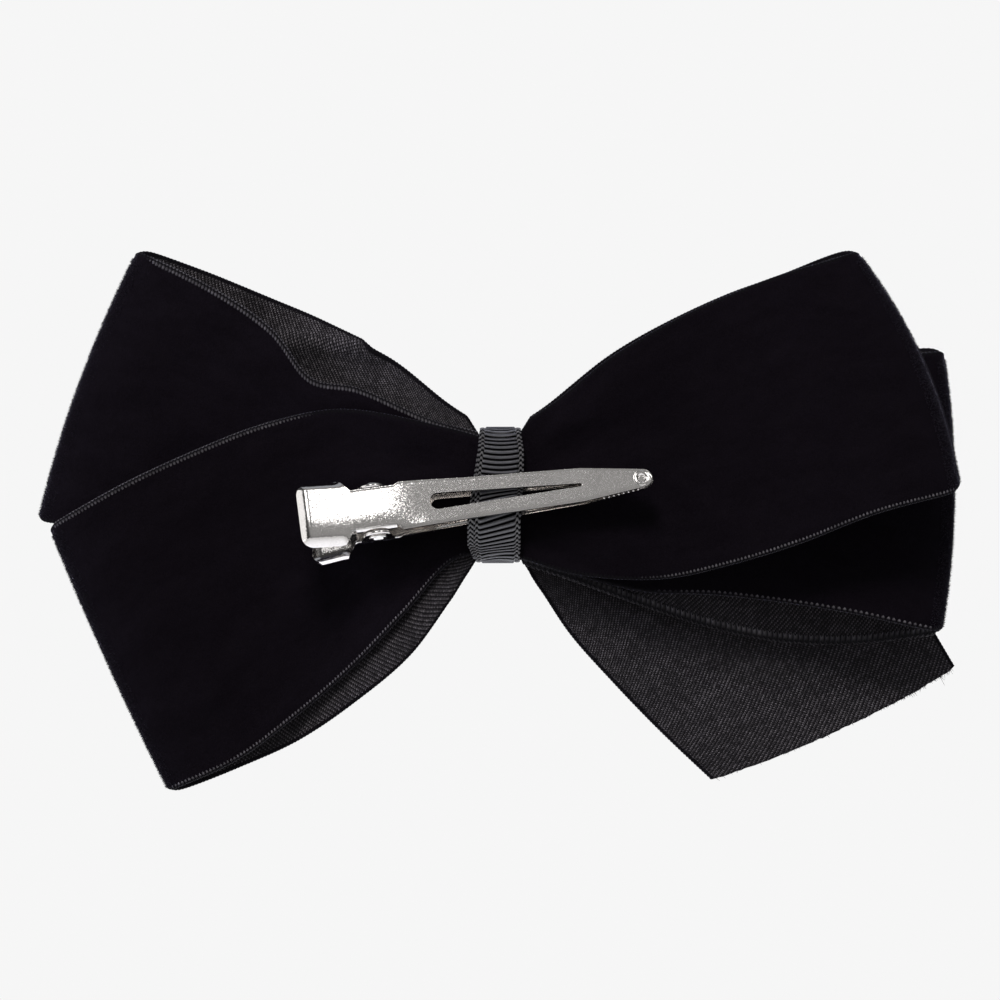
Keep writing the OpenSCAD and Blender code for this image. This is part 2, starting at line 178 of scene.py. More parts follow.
def round_spline(points, t):
    """The same through a closed list."""
    points = np.asarray(points, float)
    s = np.asarray(t, float) * len(points)
    i = np.floor(s).astype(int)
    return cubic(*(points[(i + k) % len(points)] for k in (-1, 0, 1, 2)), (s - i)[..., None])


def smooth(x, low, high):
    """0 below low, 1 above high, and a smooth step between."""
    s = np.clip((np.asarray(x, float) - low) / (high - low), 0, 1)
    return s * s * (3 - 2 * s)


def unit(v):
    """Vectors of length 1."""
    return v / np.maximum(np.linalg.norm(v, axis=-1, keepdims=True), 1e-12)


def grid_normals(grid):
    """Unit normals of a grid of points, across x along."""
    along = np.gradient(grid, axis=0)
    across = np.gradient(grid, axis=1)
    return unit(np.cross(across, along))


def arc_length(line):
    """Length along a line of points, at each point."""
    steps = np.linalg.norm(np.diff(line, axis=0), axis=1)
    return np.concatenate([[0], np.cumsum(steps)])


def resample(line, spacing, *others):
    """A line and its companions at equal steps of about the given spacing."""
    s = arc_length(line)
    at = np.linspace(0, s[-1], max(2, int(round(s[-1] / spacing)) + 1))
    lines = [np.stack([np.interp(at, s, column) for column in a.T], 1) for a in (line, *others)]
    return [at, *lines]


def clip_frame(p):
    """A point of the clip's own frame, in the frame of the part."""
    p = np.asarray(p, float)
    x, y, z = p[..., 0], p[..., 1], p[..., 2]
    c, s = math.cos(CLIP_ROLL), math.sin(CLIP_ROLL)
    y, z = y * c - z * s, y * s + z * c
    c, s = math.cos(CLIP_ANGLE), math.sin(CLIP_ANGLE)
    x, z = x * c + z * s, -x * s + z * c
    return np.stack([x, y - GRIP_H, z - CLIP_DROP], -1)


def add_object(name, data):
    """An object of the scene with this mesh, camera or light."""
    made = bpy.data.objects.new(name, data)
    bpy.context.scene.collection.objects.link(made)
    return made


def from_bmesh(name, mesh, material, smooth_faces=True):
    """An object from a bmesh in metres."""
    data = bpy.data.meshes.new(name)
    mesh.to_mesh(data)
    mesh.free()
    data.materials.append(material)
    data.polygons.foreach_set("use_smooth", [smooth_faces] * len(data.polygons))
    return add_object(name, data)


def bevel(piece, width, segments=3, angle=40):
    """Round a piece's edges that turn by more than the angle, in degrees; width is in millimetres."""
    soften = piece.modifiers.new("edges", "BEVEL")
    soften.width = width * MM
    soften.segments = segments
    soften.limit_method = "ANGLE"
    soften.angle_limit = math.radians(angle)


def make_mesh(name, points, faces, body, materials, kinds=None, uv=None, smooth_faces=True):
    """A piece from points in millimetres. kinds gives each face's material, uv each point's place.

    body is the body that it rides on, or None for a piece left on no body, such as one that spans two.
    """
    mesh = bpy.data.meshes.new(name)
    mesh.from_pydata((np.asarray(points) * MM).tolist(), [], [list(map(int, f)) for f in faces])
    for material in materials:
        mesh.materials.append(material)
    if kinds is not None:
        mesh.polygons.foreach_set("material_index", np.asarray(kinds, np.int32))
    if uv is not None:
        corner = np.zeros(len(mesh.loops), np.int32)
        mesh.loops.foreach_get("vertex_index", corner)
        layer = mesh.uv_layers.new(name="mm")
        layer.data.foreach_set("uv", np.asarray(uv, np.float32)[corner].ravel())
    mesh.polygons.foreach_set("use_smooth", [smooth_faces] * len(mesh.polygons))
    mesh.update()
    piece = add_object(name, mesh)
    if body:
        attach(piece, body)
    return piece


def ring_faces(rings, size, closed=False, start=0):
    """Quads between successive rings of points."""
    a = np.arange(rings if closed else rings - 1)[:, None]
    b = (a + 1) % rings
    j = np.arange(size)[None, :]
    k = (j + 1) % size
    quads = np.stack([a * size + j, a * size + k, b * size + k, b * size + j], -1)
    return (quads.reshape(-1, 4) + start).tolist()


def tube(line, side, radius, sides=10, closed=False):
    """Rings of points round a line. side is a direction beside the line at each point."""
    steps = np.roll(line, -1, 0) - np.roll(line, 1, 0) if closed else np.gradient(line, axis=0)
    tangent = unit(steps)
    side = unit(side - tangent * np.sum(side * tangent, axis=1, keepdims=True))
    up = np.cross(tangent, side)
    angle = np.linspace(0, 2 * math.pi, sides, endpoint=False)
    radius = np.broadcast_to(radius, (len(line), sides))
    ring = np.cos(angle)[None, :, None] * side[:, None, :] + np.sin(angle)[None, :, None] * up[:, None, :]
    return line[:, None, :] + ring * radius[:, :, None]


def capped_tube(rings, start=0):
    """Faces of a tube closed at both ends, for rings of points."""
    count, sides = rings.shape[:2]
    faces = ring_faces(count, sides, start=start)
    faces.append([start + k for k in range(sides)][::-1])
    faces.append([start + (count - 1) * sides + k for k in range(sides)])
    return faces


# ----------------------------------------------------------------------------- material helpers
def operation(kind):
    """A method that puts a value, and another if one is given, through a Math node."""
    return lambda value, *others: value.nodes.math(kind, value, *others)


class Value:
    """A number that a material's nodes work out, so that a pattern can be written as a formula."""

    def __init__(self, nodes, socket):
        self.nodes = nodes
        self.socket = socket

    __add__ = __radd__ = operation("ADD")
    __mul__ = __rmul__ = operation("MULTIPLY")
    __sub__ = operation("SUBTRACT")
    __truediv__ = operation("DIVIDE")
    __pow__ = operation("POWER")
    __mod__ = operation("FLOORED_MODULO")
    __lt__ = operation("LESS_THAN")
    __abs__ = operation("ABSOLUTE")
    floor = operation("FLOOR")
    sine = operation("SINE")
    cosine = operation("COSINE")

    def arch(self):
        """Rises from 0 to 1 and falls back between one whole number and the next."""
        return ((self - self.floor()) * math.pi).sine()


class Nodes:
    """A node tree, with short calls for adding and joining its nodes."""

    def __init__(self, tree):
        self.tree = tree

    def add(self, kind, *values, **settings):
        """A node with these settings, and these values on its first inputs (None leaves one alone)."""
        node = self.tree.nodes.new("ShaderNode" + kind)
        for key, value in settings.items():
            setattr(node, key, value)
        for value, socket in zip(values, node.inputs):
            self.join(value, socket)
        return node

    def join(self, value, socket):
        if isinstance(value, Value):
            value = value.socket
        if isinstance(value, bpy.types.NodeSocket):
            self.tree.links.new(value, socket)
        elif value is not None:
            socket.default_value = value

    def math(self, kind, *values, clamp=False):
        return Value(self, self.add("Math", *values, operation=kind, use_clamp=clamp).outputs[0])

    def vector(self, kind, *values):
        return self.add("VectorMath", *values, operation=kind)

    def range(self, value, low, high, to_low=0.0, to_high=1.0):
        node = self.add("MapRange", value, low, high, to_low, to_high, interpolation_type="SMOOTHSTEP")
        return Value(self, node.outputs[0])


class Material(Nodes):
    """A material's nodes, with the patterns used here."""

    def __init__(self, name):
        self.material = bpy.data.materials.new(name)
        self.material.use_nodes = True
        super().__init__(self.material.node_tree)

    def mix(self, factor, a, b):
        node = self.add("Mix", factor, data_type="RGBA")
        self.join(a, node.inputs[6])
        self.join(b, node.inputs[7])
        return node.outputs[2]

    def place(self):
        """Coordinates in the piece's own space, in metres."""
        return self.add("TexCoord").outputs["Object"]

    def cloth_place(self):
        """Along and across the cloth, as its mesh counts them."""
        split = self.add("SeparateXYZ", self.add("UVMap", uv_map="mm").outputs[0])
        return Value(self, split.outputs[0]), Value(self, split.outputs[1])

    def together(self, x, y):
        return self.add("CombineXYZ", x, y).outputs[0]

    def noise(self, scale, detail=2.0, roughness=0.5, place=None):
        node = self.add("TexNoise", self.place() if place is None else place)
        for name, value in (("Scale", scale), ("Detail", detail), ("Roughness", roughness)):
            node.inputs[name].default_value = value
        return Value(self, node.outputs["Fac"])

    def random(self, x, y):
        """A number from 0 to 1 for each whole x and y."""
        node = self.add("TexWhiteNoise", self.together(x, y), noise_dimensions="3D")
        return Value(self, node.outputs["Value"])

    def bump(self, height, strength, distance):
        node = self.add("Bump")
        for name, value in (("Strength", strength), ("Distance", distance), ("Height", height)):
            self.join(value, node.inputs[name])
        return node.outputs["Normal"]

    def facets(self, scale, tilt):
        """Normals of a fine frosted grain: each small cell is tilted its own way."""
        cells = self.vector("SCALE", self.place(), None, None, scale).outputs[0]
        cell = self.vector("FLOOR", cells).outputs[0]
        luck = self.add("TexWhiteNoise", cell, noise_dimensions="3D").outputs["Color"]
        turn = self.vector("MULTIPLY_ADD", luck, (tilt,) * 3, (-tilt / 2,) * 3).outputs[0]
        total = self.vector("ADD", self.add("NewGeometry").outputs["Normal"], turn).outputs[0]
        return self.vector("NORMALIZE", total).outputs[0]

    def finish(self, **inputs):
        """The material, with its shader's inputs joined to these values."""
        shader = self.tree.nodes["Principled BSDF"]
        for name, value in inputs.items():
            self.join(value, shader.inputs[name.replace("_", " ")])
        return self.material


def colour(r, g, b):
    return (r, g, b, 1.0)


# ------------------------------------------------------------------------------------ materials
YARN_PITCH = 0.195
PICK_PITCH = 0.279
WARP_END = 0.17


def velvet_material():
    """Short dense black pile: matt, a little streaky along the nap, with a faint cool sheen."""
    t = Material("velvet_pile")
    u, v = t.cloth_place()
    pile = t.noise(6500, 3, 0.65)
    nap = t.noise(0.35, 3, 0.6, t.together(u * 0.5, v))
    clumps = t.noise(900, 2, 0.5)
    tone = t.range(pile * 0.75 + nap * 0.25, 0.3, 0.7)
    return t.finish(
        Base_Color=t.mix(tone, colour(0.0026, 0.0018, 0.0028), colour(0.0066, 0.005, 0.0072)),
        Roughness=t.range(pile, 0.2, 0.8, 0.82, 0.98), Normal=t.bump(pile + clumps * 1.5, 0.5, 0.00015),
        Specular_IOR_Level=0.03, Sheen_Weight=0.42, Sheen_Roughness=0.22, Sheen_Tint=colour(0.78, 0.76, 1.0),
    )


def wrong_side_material():
    """The ribbon's woven back: a fine twill of grey-black yarn whose floats catch the light."""
    t = Material("velvet_wrong_side")
    u, v = t.cloth_place()
    a = u / YARN_PITCH + t.noise(0.22, 2, 0.5, t.together(u, v)) * 1.6
    b = v / PICK_PITCH
    step = (a.floor() + b.floor()) % 3.0
    lifted = (step < 0.5) + (abs(step - 1.0) < 0.5) * 0.3
    yarn = lifted * (a.arch() * b.arch()) ** 0.6
    luck = t.random(a.floor(), b.floor())
    rows = t.random((a / 3.0).floor(), 7.0)
    wide = t.noise(1.1, 3, 0.6, t.together(u * 0.35, v))
    glow = yarn * (luck * 1.1 + 0.3) * t.range(wide, 0.3, 0.7, 0.6, 1.3)
    glow = t.math("MULTIPLY", glow, rows * 0.5 + 0.75, clamp=True)
    return t.finish(
        Base_Color=t.mix(glow, colour(0.0054, 0.0046, 0.0054), colour(0.142, 0.129, 0.138)),
        Roughness=t.range(yarn, 0, 1, 0.8, 0.55), Normal=t.bump(yarn, 0.6, 0.00008),
        Specular_IOR_Level=0.12, Sheen_Weight=0.012, Sheen_Roughness=0.4,
    )


def selvedge_material(name, light):
    """The ribbon's woven edge: rows of small yarn loops with dark gaps between."""
    t = Material(name)
    u, v = t.cloth_place()
    rows = v * 2.0
    shifted = u + rows.floor() * 0.5
    loop = shifted.arch() ** 1.3 * rows.arch() ** 2.5
    luck = t.random(shifted.floor(), rows.floor())
    glow = t.math("MULTIPLY", loop, luck * 0.5 + 0.55, clamp=True)
    return t.finish(
        Base_Color=t.mix(glow, colour(0.0032, 0.0028, 0.0036), light), Roughness=0.75,
        Normal=t.bump(loop, 0.6, 0.00012), Specular_IOR_Level=0.06,
    )


def grosgrain_material(name, dark, light, rough):
    """Black corded ribbon: satin warp ends over the ribs. Its tone is painted light: light on each rib's
    crest, a painted highlight, and dark in the furrows between, painted shade.
    """
    t = Material(name)
    u, v = t.cloth_place()
    ends = v / WARP_END
    thread = ends.arch()
    rib = abs((u * math.pi).cosine())
    luck = t.random(ends.floor(), u.floor())
    wear = t.noise(1800, 2, 0.6)
    # Painted light: rib crests are coloured light (painted highlight) and furrows dark (painted shade); luck
    # and thread vary the tone at random.
    tone = rib**6.0 * (luck * 0.45 + 0.55) * (thread * 0.25 + 0.75)
    return t.finish(
        Base_Color=t.mix(tone, dark, light), Roughness=t.range(wear, 0.3, 0.7, rough - 0.06, rough + 0.08),
        Normal=t.bump(thread, 0.25, 0.00004), Specular_IOR_Level=t.range(rib, 0.4, 0.9, 0.0, 0.9),
        Sheen_Weight=0.12, Sheen_Roughness=0.25, Sheen_Tint=colour(0.7, 0.7, 1.0),
    )


def thread_material(name, dark, light):
    """Loose yarn: matt, with a fine uneven tone."""
    t = Material(name)
    fine = t.noise(9000, 2, 0.6)
    return t.finish(
        Base_Color=t.mix(t.range(fine, 0.3, 0.7), dark, light), Roughness=0.6,
        Normal=t.bump(fine, 0.3, 0.00003), Specular_IOR_Level=0.3,
    )


def metal_material(name, low, high, rough, grain=0.075):
    """Nickel plate: satin, with a frosted grain and a tone that is a little uneven in patches."""
    t = Material(name)
    fine = t.noise(11000, 1, 0.5)
    patch = t.noise(260, 3, 0.6)
    return t.finish(
        Base_Color=t.mix(t.range(fine * 0.7 + patch * 0.3, 0.35, 0.65), low, high), Metallic=1.0,
        Roughness=t.range(fine, 0.3, 0.7, rough * 0.85, rough * 1.2), Normal=t.facets(9500, grain),
    )


def glue_material():
    """Set hot-melt glue: cloudy and a little see-through."""
    t = Material("set_glue")
    cloud = t.noise(700, 3, 0.6)
    return t.finish(
        Base_Color=t.mix(cloud, colour(0.62, 0.59, 0.48), colour(0.80, 0.78, 0.68)),
        Roughness=t.range(cloud, 0.3, 0.7, 0.25, 0.45), Normal=t.bump(cloud, 0.3, 0.0001),
        Subsurface_Weight=0.2, Subsurface_Scale=0.001,
    )


VELVET = velvet_material()
WRONG_SIDE = wrong_side_material()
# Copies of one selvedge material: the three lighter ones are painted highlights, given where the cord is
# painted as catching the light; the dark one is the cord's own near-black.
SELVEDGE_PAINTED_LIT = selvedge_material("velvet_selvedge", colour(0.115, 0.106, 0.114))
SELVEDGE_PAINTED_HIGHLIGHT = selvedge_material("velvet_selvedge_painted_highlight", colour(0.24, 0.225, 0.235))
SELVEDGE_PAINTED_HALF_LIT = selvedge_material("velvet_selvedge_painted_half_lit", colour(0.045, 0.041, 0.046))
DARK_SELVEDGE = selvedge_material("velvet_selvedge_dark", colour(0.005, 0.0044, 0.0056))
# The dark and light colours are the painted shade in the rib furrows and the painted highlight on the rib
# crests.
GROSGRAIN = grosgrain_material(
    "grosgrain", colour(0.0026, 0.0024, 0.0028), colour(0.064, 0.061, 0.074), 0.34)
GROSGRAIN_EDGE = grosgrain_material(
    "grosgrain_edge", colour(0.003, 0.0028, 0.0032), colour(0.095, 0.088, 0.092), 0.4)
THREAD = thread_material("binding_thread", colour(0.008, 0.008, 0.009), colour(0.02, 0.02, 0.022))
FRAY = thread_material("frayed_yarn", colour(0.012, 0.011, 0.014), colour(0.05, 0.047, 0.055))
# The pile tips are coloured lighter and bluer than the velvet: a painted sheen along the folds.
PILE_PAINTED_SHEEN = thread_material("velvet_pile_tips_painted_sheen", colour(0.008, 0.0068, 0.01), colour(0.02, 0.017, 0.026))
PLATE = metal_material("nickel_plate", colour(0.64, 0.615, 0.595), colour(0.76, 0.735, 0.715), 0.12)
PIN_STEEL = metal_material("pin_nickel", colour(0.66, 0.65, 0.63), colour(0.80, 0.79, 0.77), 0.15, 0.03)
SPRING_STEEL = metal_material("spring_wire", colour(0.42, 0.41, 0.40), colour(0.58, 0.57, 0.56), 0.28, 0.03)
GLUE = glue_material()


# -------------------------------------------------------------------------------------- ribbons
PLEAT_CENTRE = 9.0
PLEAT_COUNT = 17
PLEAT_H = 0.35
NOTCH = 0.45
NOTCH_SPREAD = 0.16
EDGE_INSET = 0.36
EDGE_R = 0.41
WIDE_EDGE = 0.55
PILE_COUNT = 8000
PILE_L = 0.38
PILE_R = 0.03


def loop_steps():
    """Shares from waist to fold and from back to front panel: out, round the fold and back."""
    out = (1 - FOLD_SHARE) * np.concatenate([np.linspace(0, 0.2, 26)[:-1], np.linspace(0.2, 1, 54)])
    angle = np.radians(np.linspace(0, 180, 30)[1:-1])
    t = np.concatenate([out, 1 - FOLD_SHARE + FOLD_SHARE * np.sin(angle), out[::-1]])
    m = np.concatenate([0 * out, (1 - np.cos(angle)) / 2, 0 * out + 1])
    return t, m


def gathered(p):
    """Points of a ribbon's edge, kept within the waist and the cone that fans out from it."""
    limit = WAIST_H + FAN_SLOPE * np.maximum(0, p[:, 0] - WAIST_REACH)
    return np.stack([p[:, 0], np.clip(p[:, 1], -limit, limit)], 1)


def crease_height(x, z, m, creases):
    """Sum of the soft folds: each runs between two points, on the back (0) or front (1) panel."""
    total = np.zeros_like(x)
    for panel, (x0, z0), (x1, z1), height, width in creases:
        run = np.array([x1 - x0, z1 - z0])
        length = np.hypot(*run)
        along = ((x - x0) * run[0] + (z - z0) * run[1]) / length
        aside = ((z - z0) * run[0] - (x - x0) * run[1]) / length
        ends = smooth(along, -0.35 * length, 0.2 * length) * (1 - smooth(along, 0.8 * length, 1.35 * length))
        side = 1 - np.abs(m - panel)
        total += height * np.exp(-np.abs(aside) / width) * ends * smooth(side, 0.5, 1)
    return total


def ribbon_grid(edges, back, front, bulge, reach, tilt, t, m, v, creases=(), side=1):
    """Points of a ribbon's guiding face, in millimetres, on the +X side."""
    low, high = (
        gathered(spline(edges[k], t) * (1 - m)[:, None] + spline(edges[(k + 2) % len(edges)], t) * m[:, None])
        for k in (0, 1)
    )
    across = high - low
    width = np.linalg.norm(across, axis=1)[:, None]
    outward = np.stack([across[:, 1], -across[:, 0]], 1) / width
    pull = NOTCH * np.exp(-(((m - 0.5) / NOTCH_SPREAD) ** 2)) * (len(edges) > 2)
    narrow = pull[:, None] / width
    inset = EDGE_INSET / width
    v = v[None, :]
    w = inset + v * (1 - 2 * inset) + narrow * (1 - 2 * v) * np.exp(-np.minimum(v, 1 - v) / 0.03)
    bow = (bulge * t**4)[:, None] * 4 * w * (1 - w) + (reach * t**12)[:, None]
    x = low[:, None, 0] + across[:, None, 0] * w + outward[:, None, 0] * bow
    z = low[:, None, 1] + across[:, None, 1] * w + outward[:, None, 1] * bow
    share = np.clip((x - FLAT_REACH) / (BASE_REACH - FLAT_REACH), 0, 1)
    mm = m[:, None] + 0 * x
    y = spline(back, share) * (1 - mm) + spline(front, share) * mm + tilt * z * share
    # Pleats fan out from the waist, the same on every layer so that no layer cuts another.
    angle = np.arctan2(z, x + PLEAT_CENTRE)
    pleats = np.sin(PLEAT_COUNT * angle + 0.7 * side) * smooth(x, 4.4, 9) * (1 - smooth(x, 12, 30))
    y = y + PLEAT_H * pleats + crease_height(x, z, mm, creases)
    y = y + 0.12 * np.sin(0.35 * x + 0.5 * z + side) * smooth(x, 8, 30)
    return np.stack([x, y - GRIP_H, z], -1)


def ribbon_shell(name, face, length, width_at, outer_kind, side, node):
    """A closed sheet of the ribbon's thickness behind a grid of points.

    outer_kind is the guiding face's material: 0 the velvet, 1 the wrong side.
    """
    behind = face - RIBBON_T * grid_normals(face)
    rows = face.shape[1]
    edge_dirs = [unit(face[:, 0] - face[:, 1]), unit(face[:, -1] - face[:, -2])]
    rounds = []
    for k, j in ((1, -1), (0, 0)):
        centre = (face[:, j] + behind[:, j]) / 2
        half = (face[:, j] - behind[:, j]) / 2
        turns = [math.pi * a for a in ((0.25, 0.5, 0.75) if k else (0.75, 0.5, 0.25))]
        rounds.append(np.stack([
            centre + math.cos(a) * half + math.sin(a) * edge_dirs[k] * RIBBON_T / 2 for a in turns
        ], 1))
    ring = np.concatenate([face, rounds[0], behind[:, ::-1], rounds[1]], 1)
    count, size = ring.shape[:2]
    faces = ring_faces(count, size)
    per_ring = np.array([outer_kind] * (rows - 1) + [0] * 4 + [1 - outer_kind] * (rows - 1) + [0] * 4)
    kinds = list(np.tile(per_ring, count - 1))
    for base, flip in ((0, False), ((count - 1) * size, True)):
        mate = [2 * rows + 2 - j for j in range(rows)]
        caps = [[base + j, base + mate[j], base + mate[j + 1], base + j + 1] for j in range(rows - 1)]
        caps.append([base + j for j in (rows - 1, mate[rows - 1], rows + 2, rows + 1, rows)])
        caps.append([base + j for j in (0, size - 1, size - 2, size - 3, mate[0])])
        faces += [f[::-1] for f in caps] if flip else caps
        kinds += [1] * len(caps)
    v_face = width_at * RIBBON_W
    v_ring = np.concatenate([v_face, [RIBBON_W] * 3, v_face[::-1], [0] * 3])
    uv = np.stack(np.broadcast_arrays(length[:, None], v_ring[None, :]), -1).reshape(-1, 2)
    points = ring.reshape(-1, 3).copy()
    points[:, 0] *= side
    if side > 0:
        faces = [f[::-1] for f in faces]
    piece = make_mesh(name, points, faces, "bow", [VELVET, WRONG_SIDE], kinds, uv)
    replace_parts(piece, node)
    return piece, behind, edge_dirs


def selvedge_piece(name, face, behind, edge_dirs, side, m, glints, pitch=0.5):
    """The two woven edges of a ribbon, as knobbly cords of yarn loops along it.

    glints lists where the cord is painted as catching the light (painted highlight): edge (0 low, 1 high),
    panel (0 back, 1 front), from and to as distance outward, share of its loops painted lit and how deep its
    ridges are.
    """
    rng = np.random.default_rng(len(name))
    sides = 12
    angle = np.linspace(0, 2 * math.pi, sides, endpoint=False)
    points, faces, uv, kinds = [], [], [], []
    start = 0
    for k, j in ((0, 0), (1, -1)):
        centre = (face[:, j] + behind[:, j]) / 2
        thick = unit(face[:, j] - behind[:, j])
        at, line, out, up, panel = resample(centre, pitch / 5, edge_dirs[k], thick, m[:, None])
        # How much of the cord is painted lit here, from the glints.
        share = np.zeros(len(at))
        ridge = np.full(len(at), 0.08)
        for edge, which, near, far, level, depth in glints:
            if edge == k:
                here = smooth(line[:, 0], near, near + 9) * (1 - smooth(line[:, 0], far - 2, far))
                here = here * (np.abs(panel[:, 0] - which) < 0.3)
                share = np.maximum(share, level * here)
                ridge = np.maximum(ridge, depth * here)
        round_beat = np.cos(2 * math.pi * at / pitch)
        sharp_beat = 2 * np.abs(np.sin(math.pi * at / pitch)) ** 0.8 - 1.2
        beat = np.where(ridge > 0.2, sharp_beat, round_beat) * ridge + WIDE_EDGE * smooth(ridge, 0.12, 0.2)
        circle = np.cos(angle)[:, None] * unit(out)[:, None] + np.sin(angle)[:, None] * unit(up)[:, None]
        ring = line[:, None] + EDGE_R * (1 + beat)[:, None, None] * circle
        made = capped_tube(ring, start)
        start += len(at) * sides
        faces += made if k == 0 else [f[::-1] for f in made]
        # Painted highlight: loops well inside a glint get a lit copy of the selvedge (the highlight copy on
        # deep ridges), loops at its fringe get the half-lit copy and the rest get the dark copy; each loop's
        # share is spread at random.
        bead = np.floor(at / pitch).astype(int)
        level = (share + 0.3 * (rng.random(bead.max() + 1)[bead] - 0.5))[:-1]
        kind = np.where(level > 0.66, np.where(ridge[:-1] > 0.2, 3, 0), np.where(level > 0.3, 1, 2))
        kinds += np.repeat(kind, sides).tolist() + [2, 2]
        points.append(ring.reshape(-1, 3))
        turns = np.where(ridge > 0.16, 0.5, 1)[:, None] * (angle / math.pi + 0.2)[None, :]
        uv.append(np.stack(np.broadcast_arrays((at / pitch)[:, None], turns), -1).reshape(-1, 2))
    points = np.concatenate(points)
    points[:, 0] *= side
    if side > 0:
        faces = [f[::-1] for f in faces]
    return make_mesh(name, points, faces, "bow",
                     [SELVEDGE_PAINTED_LIT, SELVEDGE_PAINTED_HALF_LIT, DARK_SELVEDGE, SELVEDGE_PAINTED_HIGHLIGHT], kinds, np.concatenate(uv))


def pile_piece(name, face, side, m):
    """Pile standing out along the fold, where the velvet is seen edge on. Its tips are coloured lighter and
    bluer than the velvet, a painted sheen.
    """
    rng = np.random.default_rng(len(name) + 40)
    normal = grid_normals(face)
    rows = np.flatnonzero((m > 0.2) & (m < 0.8))
    points, faces = [], []
    for _ in range(PILE_COUNT):
        f, a = math.modf(rows[0] + rng.random() * (rows[-1] - rows[0] - 1))
        g, b = math.modf(rng.random() * (face.shape[1] - 2))
        a, b = int(a), int(b)
        near, far = (face[a, j] * (1 - f) + face[a + 1, j] * f for j in (b, b + 1))
        root = near * (1 - g) + far * g
        out = normal[a, b]
        lean = unit(out + 0.35 * rng.standard_normal(3))
        across = unit(np.cross(lean, (0.3, 0.2, 0.9)))
        other = np.cross(lean, across)
        base = len(points)
        for turn in (0, 2.1, 4.2):
            points.append(root - 0.05 * out + PILE_R * (math.cos(turn) * across + math.sin(turn) * other))
        points.append(root + lean * PILE_L * (0.5 + 0.5 * rng.random()))
        faces += [[base + j for j in corners] for corners in ((0, 1, 3), (1, 2, 3), (2, 0, 3), (2, 1, 0))]
    points = np.array(points)
    points[:, 0] *= side
    if side < 0:
        faces = [f[::-1] for f in faces]
    return make_mesh(name, points, faces, "bow", [PILE_PAINTED_SHEEN], smooth_faces=False)


def ribbon_loop(place, edges, layer, bulge, reach, tilt, side, glints, pitch=0.5, creases=()):
    """A loop of ribbon with its selvedges and the pile round its fold.

    place is upper_left or the like, and layer the depths of its back and front panel.
    """
    name = "ribbon_" + place
    t, m = loop_steps()
    v = np.linspace(0, 1, 45)
    face = ribbon_grid(edges, *layer, bulge, reach, tilt, t, m, v, creases, side)
    length = arc_length(face[:, len(v) // 2])
    piece, behind, edge_dirs = ribbon_shell(name, face, length, v, 0, side, "velvet_loop_" + place)
    edge = selvedge_piece(name + "_selvedges", face, behind, edge_dirs, side, m, glints, pitch)
    pile = pile_piece(name + "_pile", face, side, m)


NEAR = (NEAR_BACK, NEAR_FRONT)
FAR = (FAR_BACK, FAR_FRONT)
# The glints listed below are painted highlights on the selvedges.
ribbon_loop("upper_left", UPPER_LEFT, FAR, 1.2, 0.8, 0.05, 1, [(1, 0, -6, 47, 1, 0.155)],
            creases=[(1, (27.4, 20.4), (14.9, 18.9), 1.6, 1.5), (0, (40.4, 19.2), (31.9, 16.5), 0.3, 0.7)])
ribbon_loop("lower_left", LOWER_LEFT, NEAR, 0.4, 0.7, 0.05, 1,
            [(1, 0, 21, 60, 1, 0.14), (0, 0, 2, 44, 0.95, 0.13)],
            creases=[(0, (30, -13), (11, -9.3), 0.35, 1.0)])
ribbon_loop("upper_right", UPPER_RIGHT, NEAR, 2.3, 0.1, -0.05, -1, [(0, 0, 16, 61, 1, 0.13)],
            creases=[(0, (8, 9), (14, 10.5), 0.3, 0.8), (0, (22, 2.2), (31.5, -4.8), 0.3, 0.7)])
ribbon_loop("lower_right", LOWER_RIGHT, FAR, 1.6, 0.9, -0.05, -1,
            [(0, 0, 18, 58, 1, 0.12), (0, 1, -8, 60, 1, 0.34)], pitch=0.74)


# ----------------------------------------------------------------------------------- the tail
FRAY_COUNT = 420


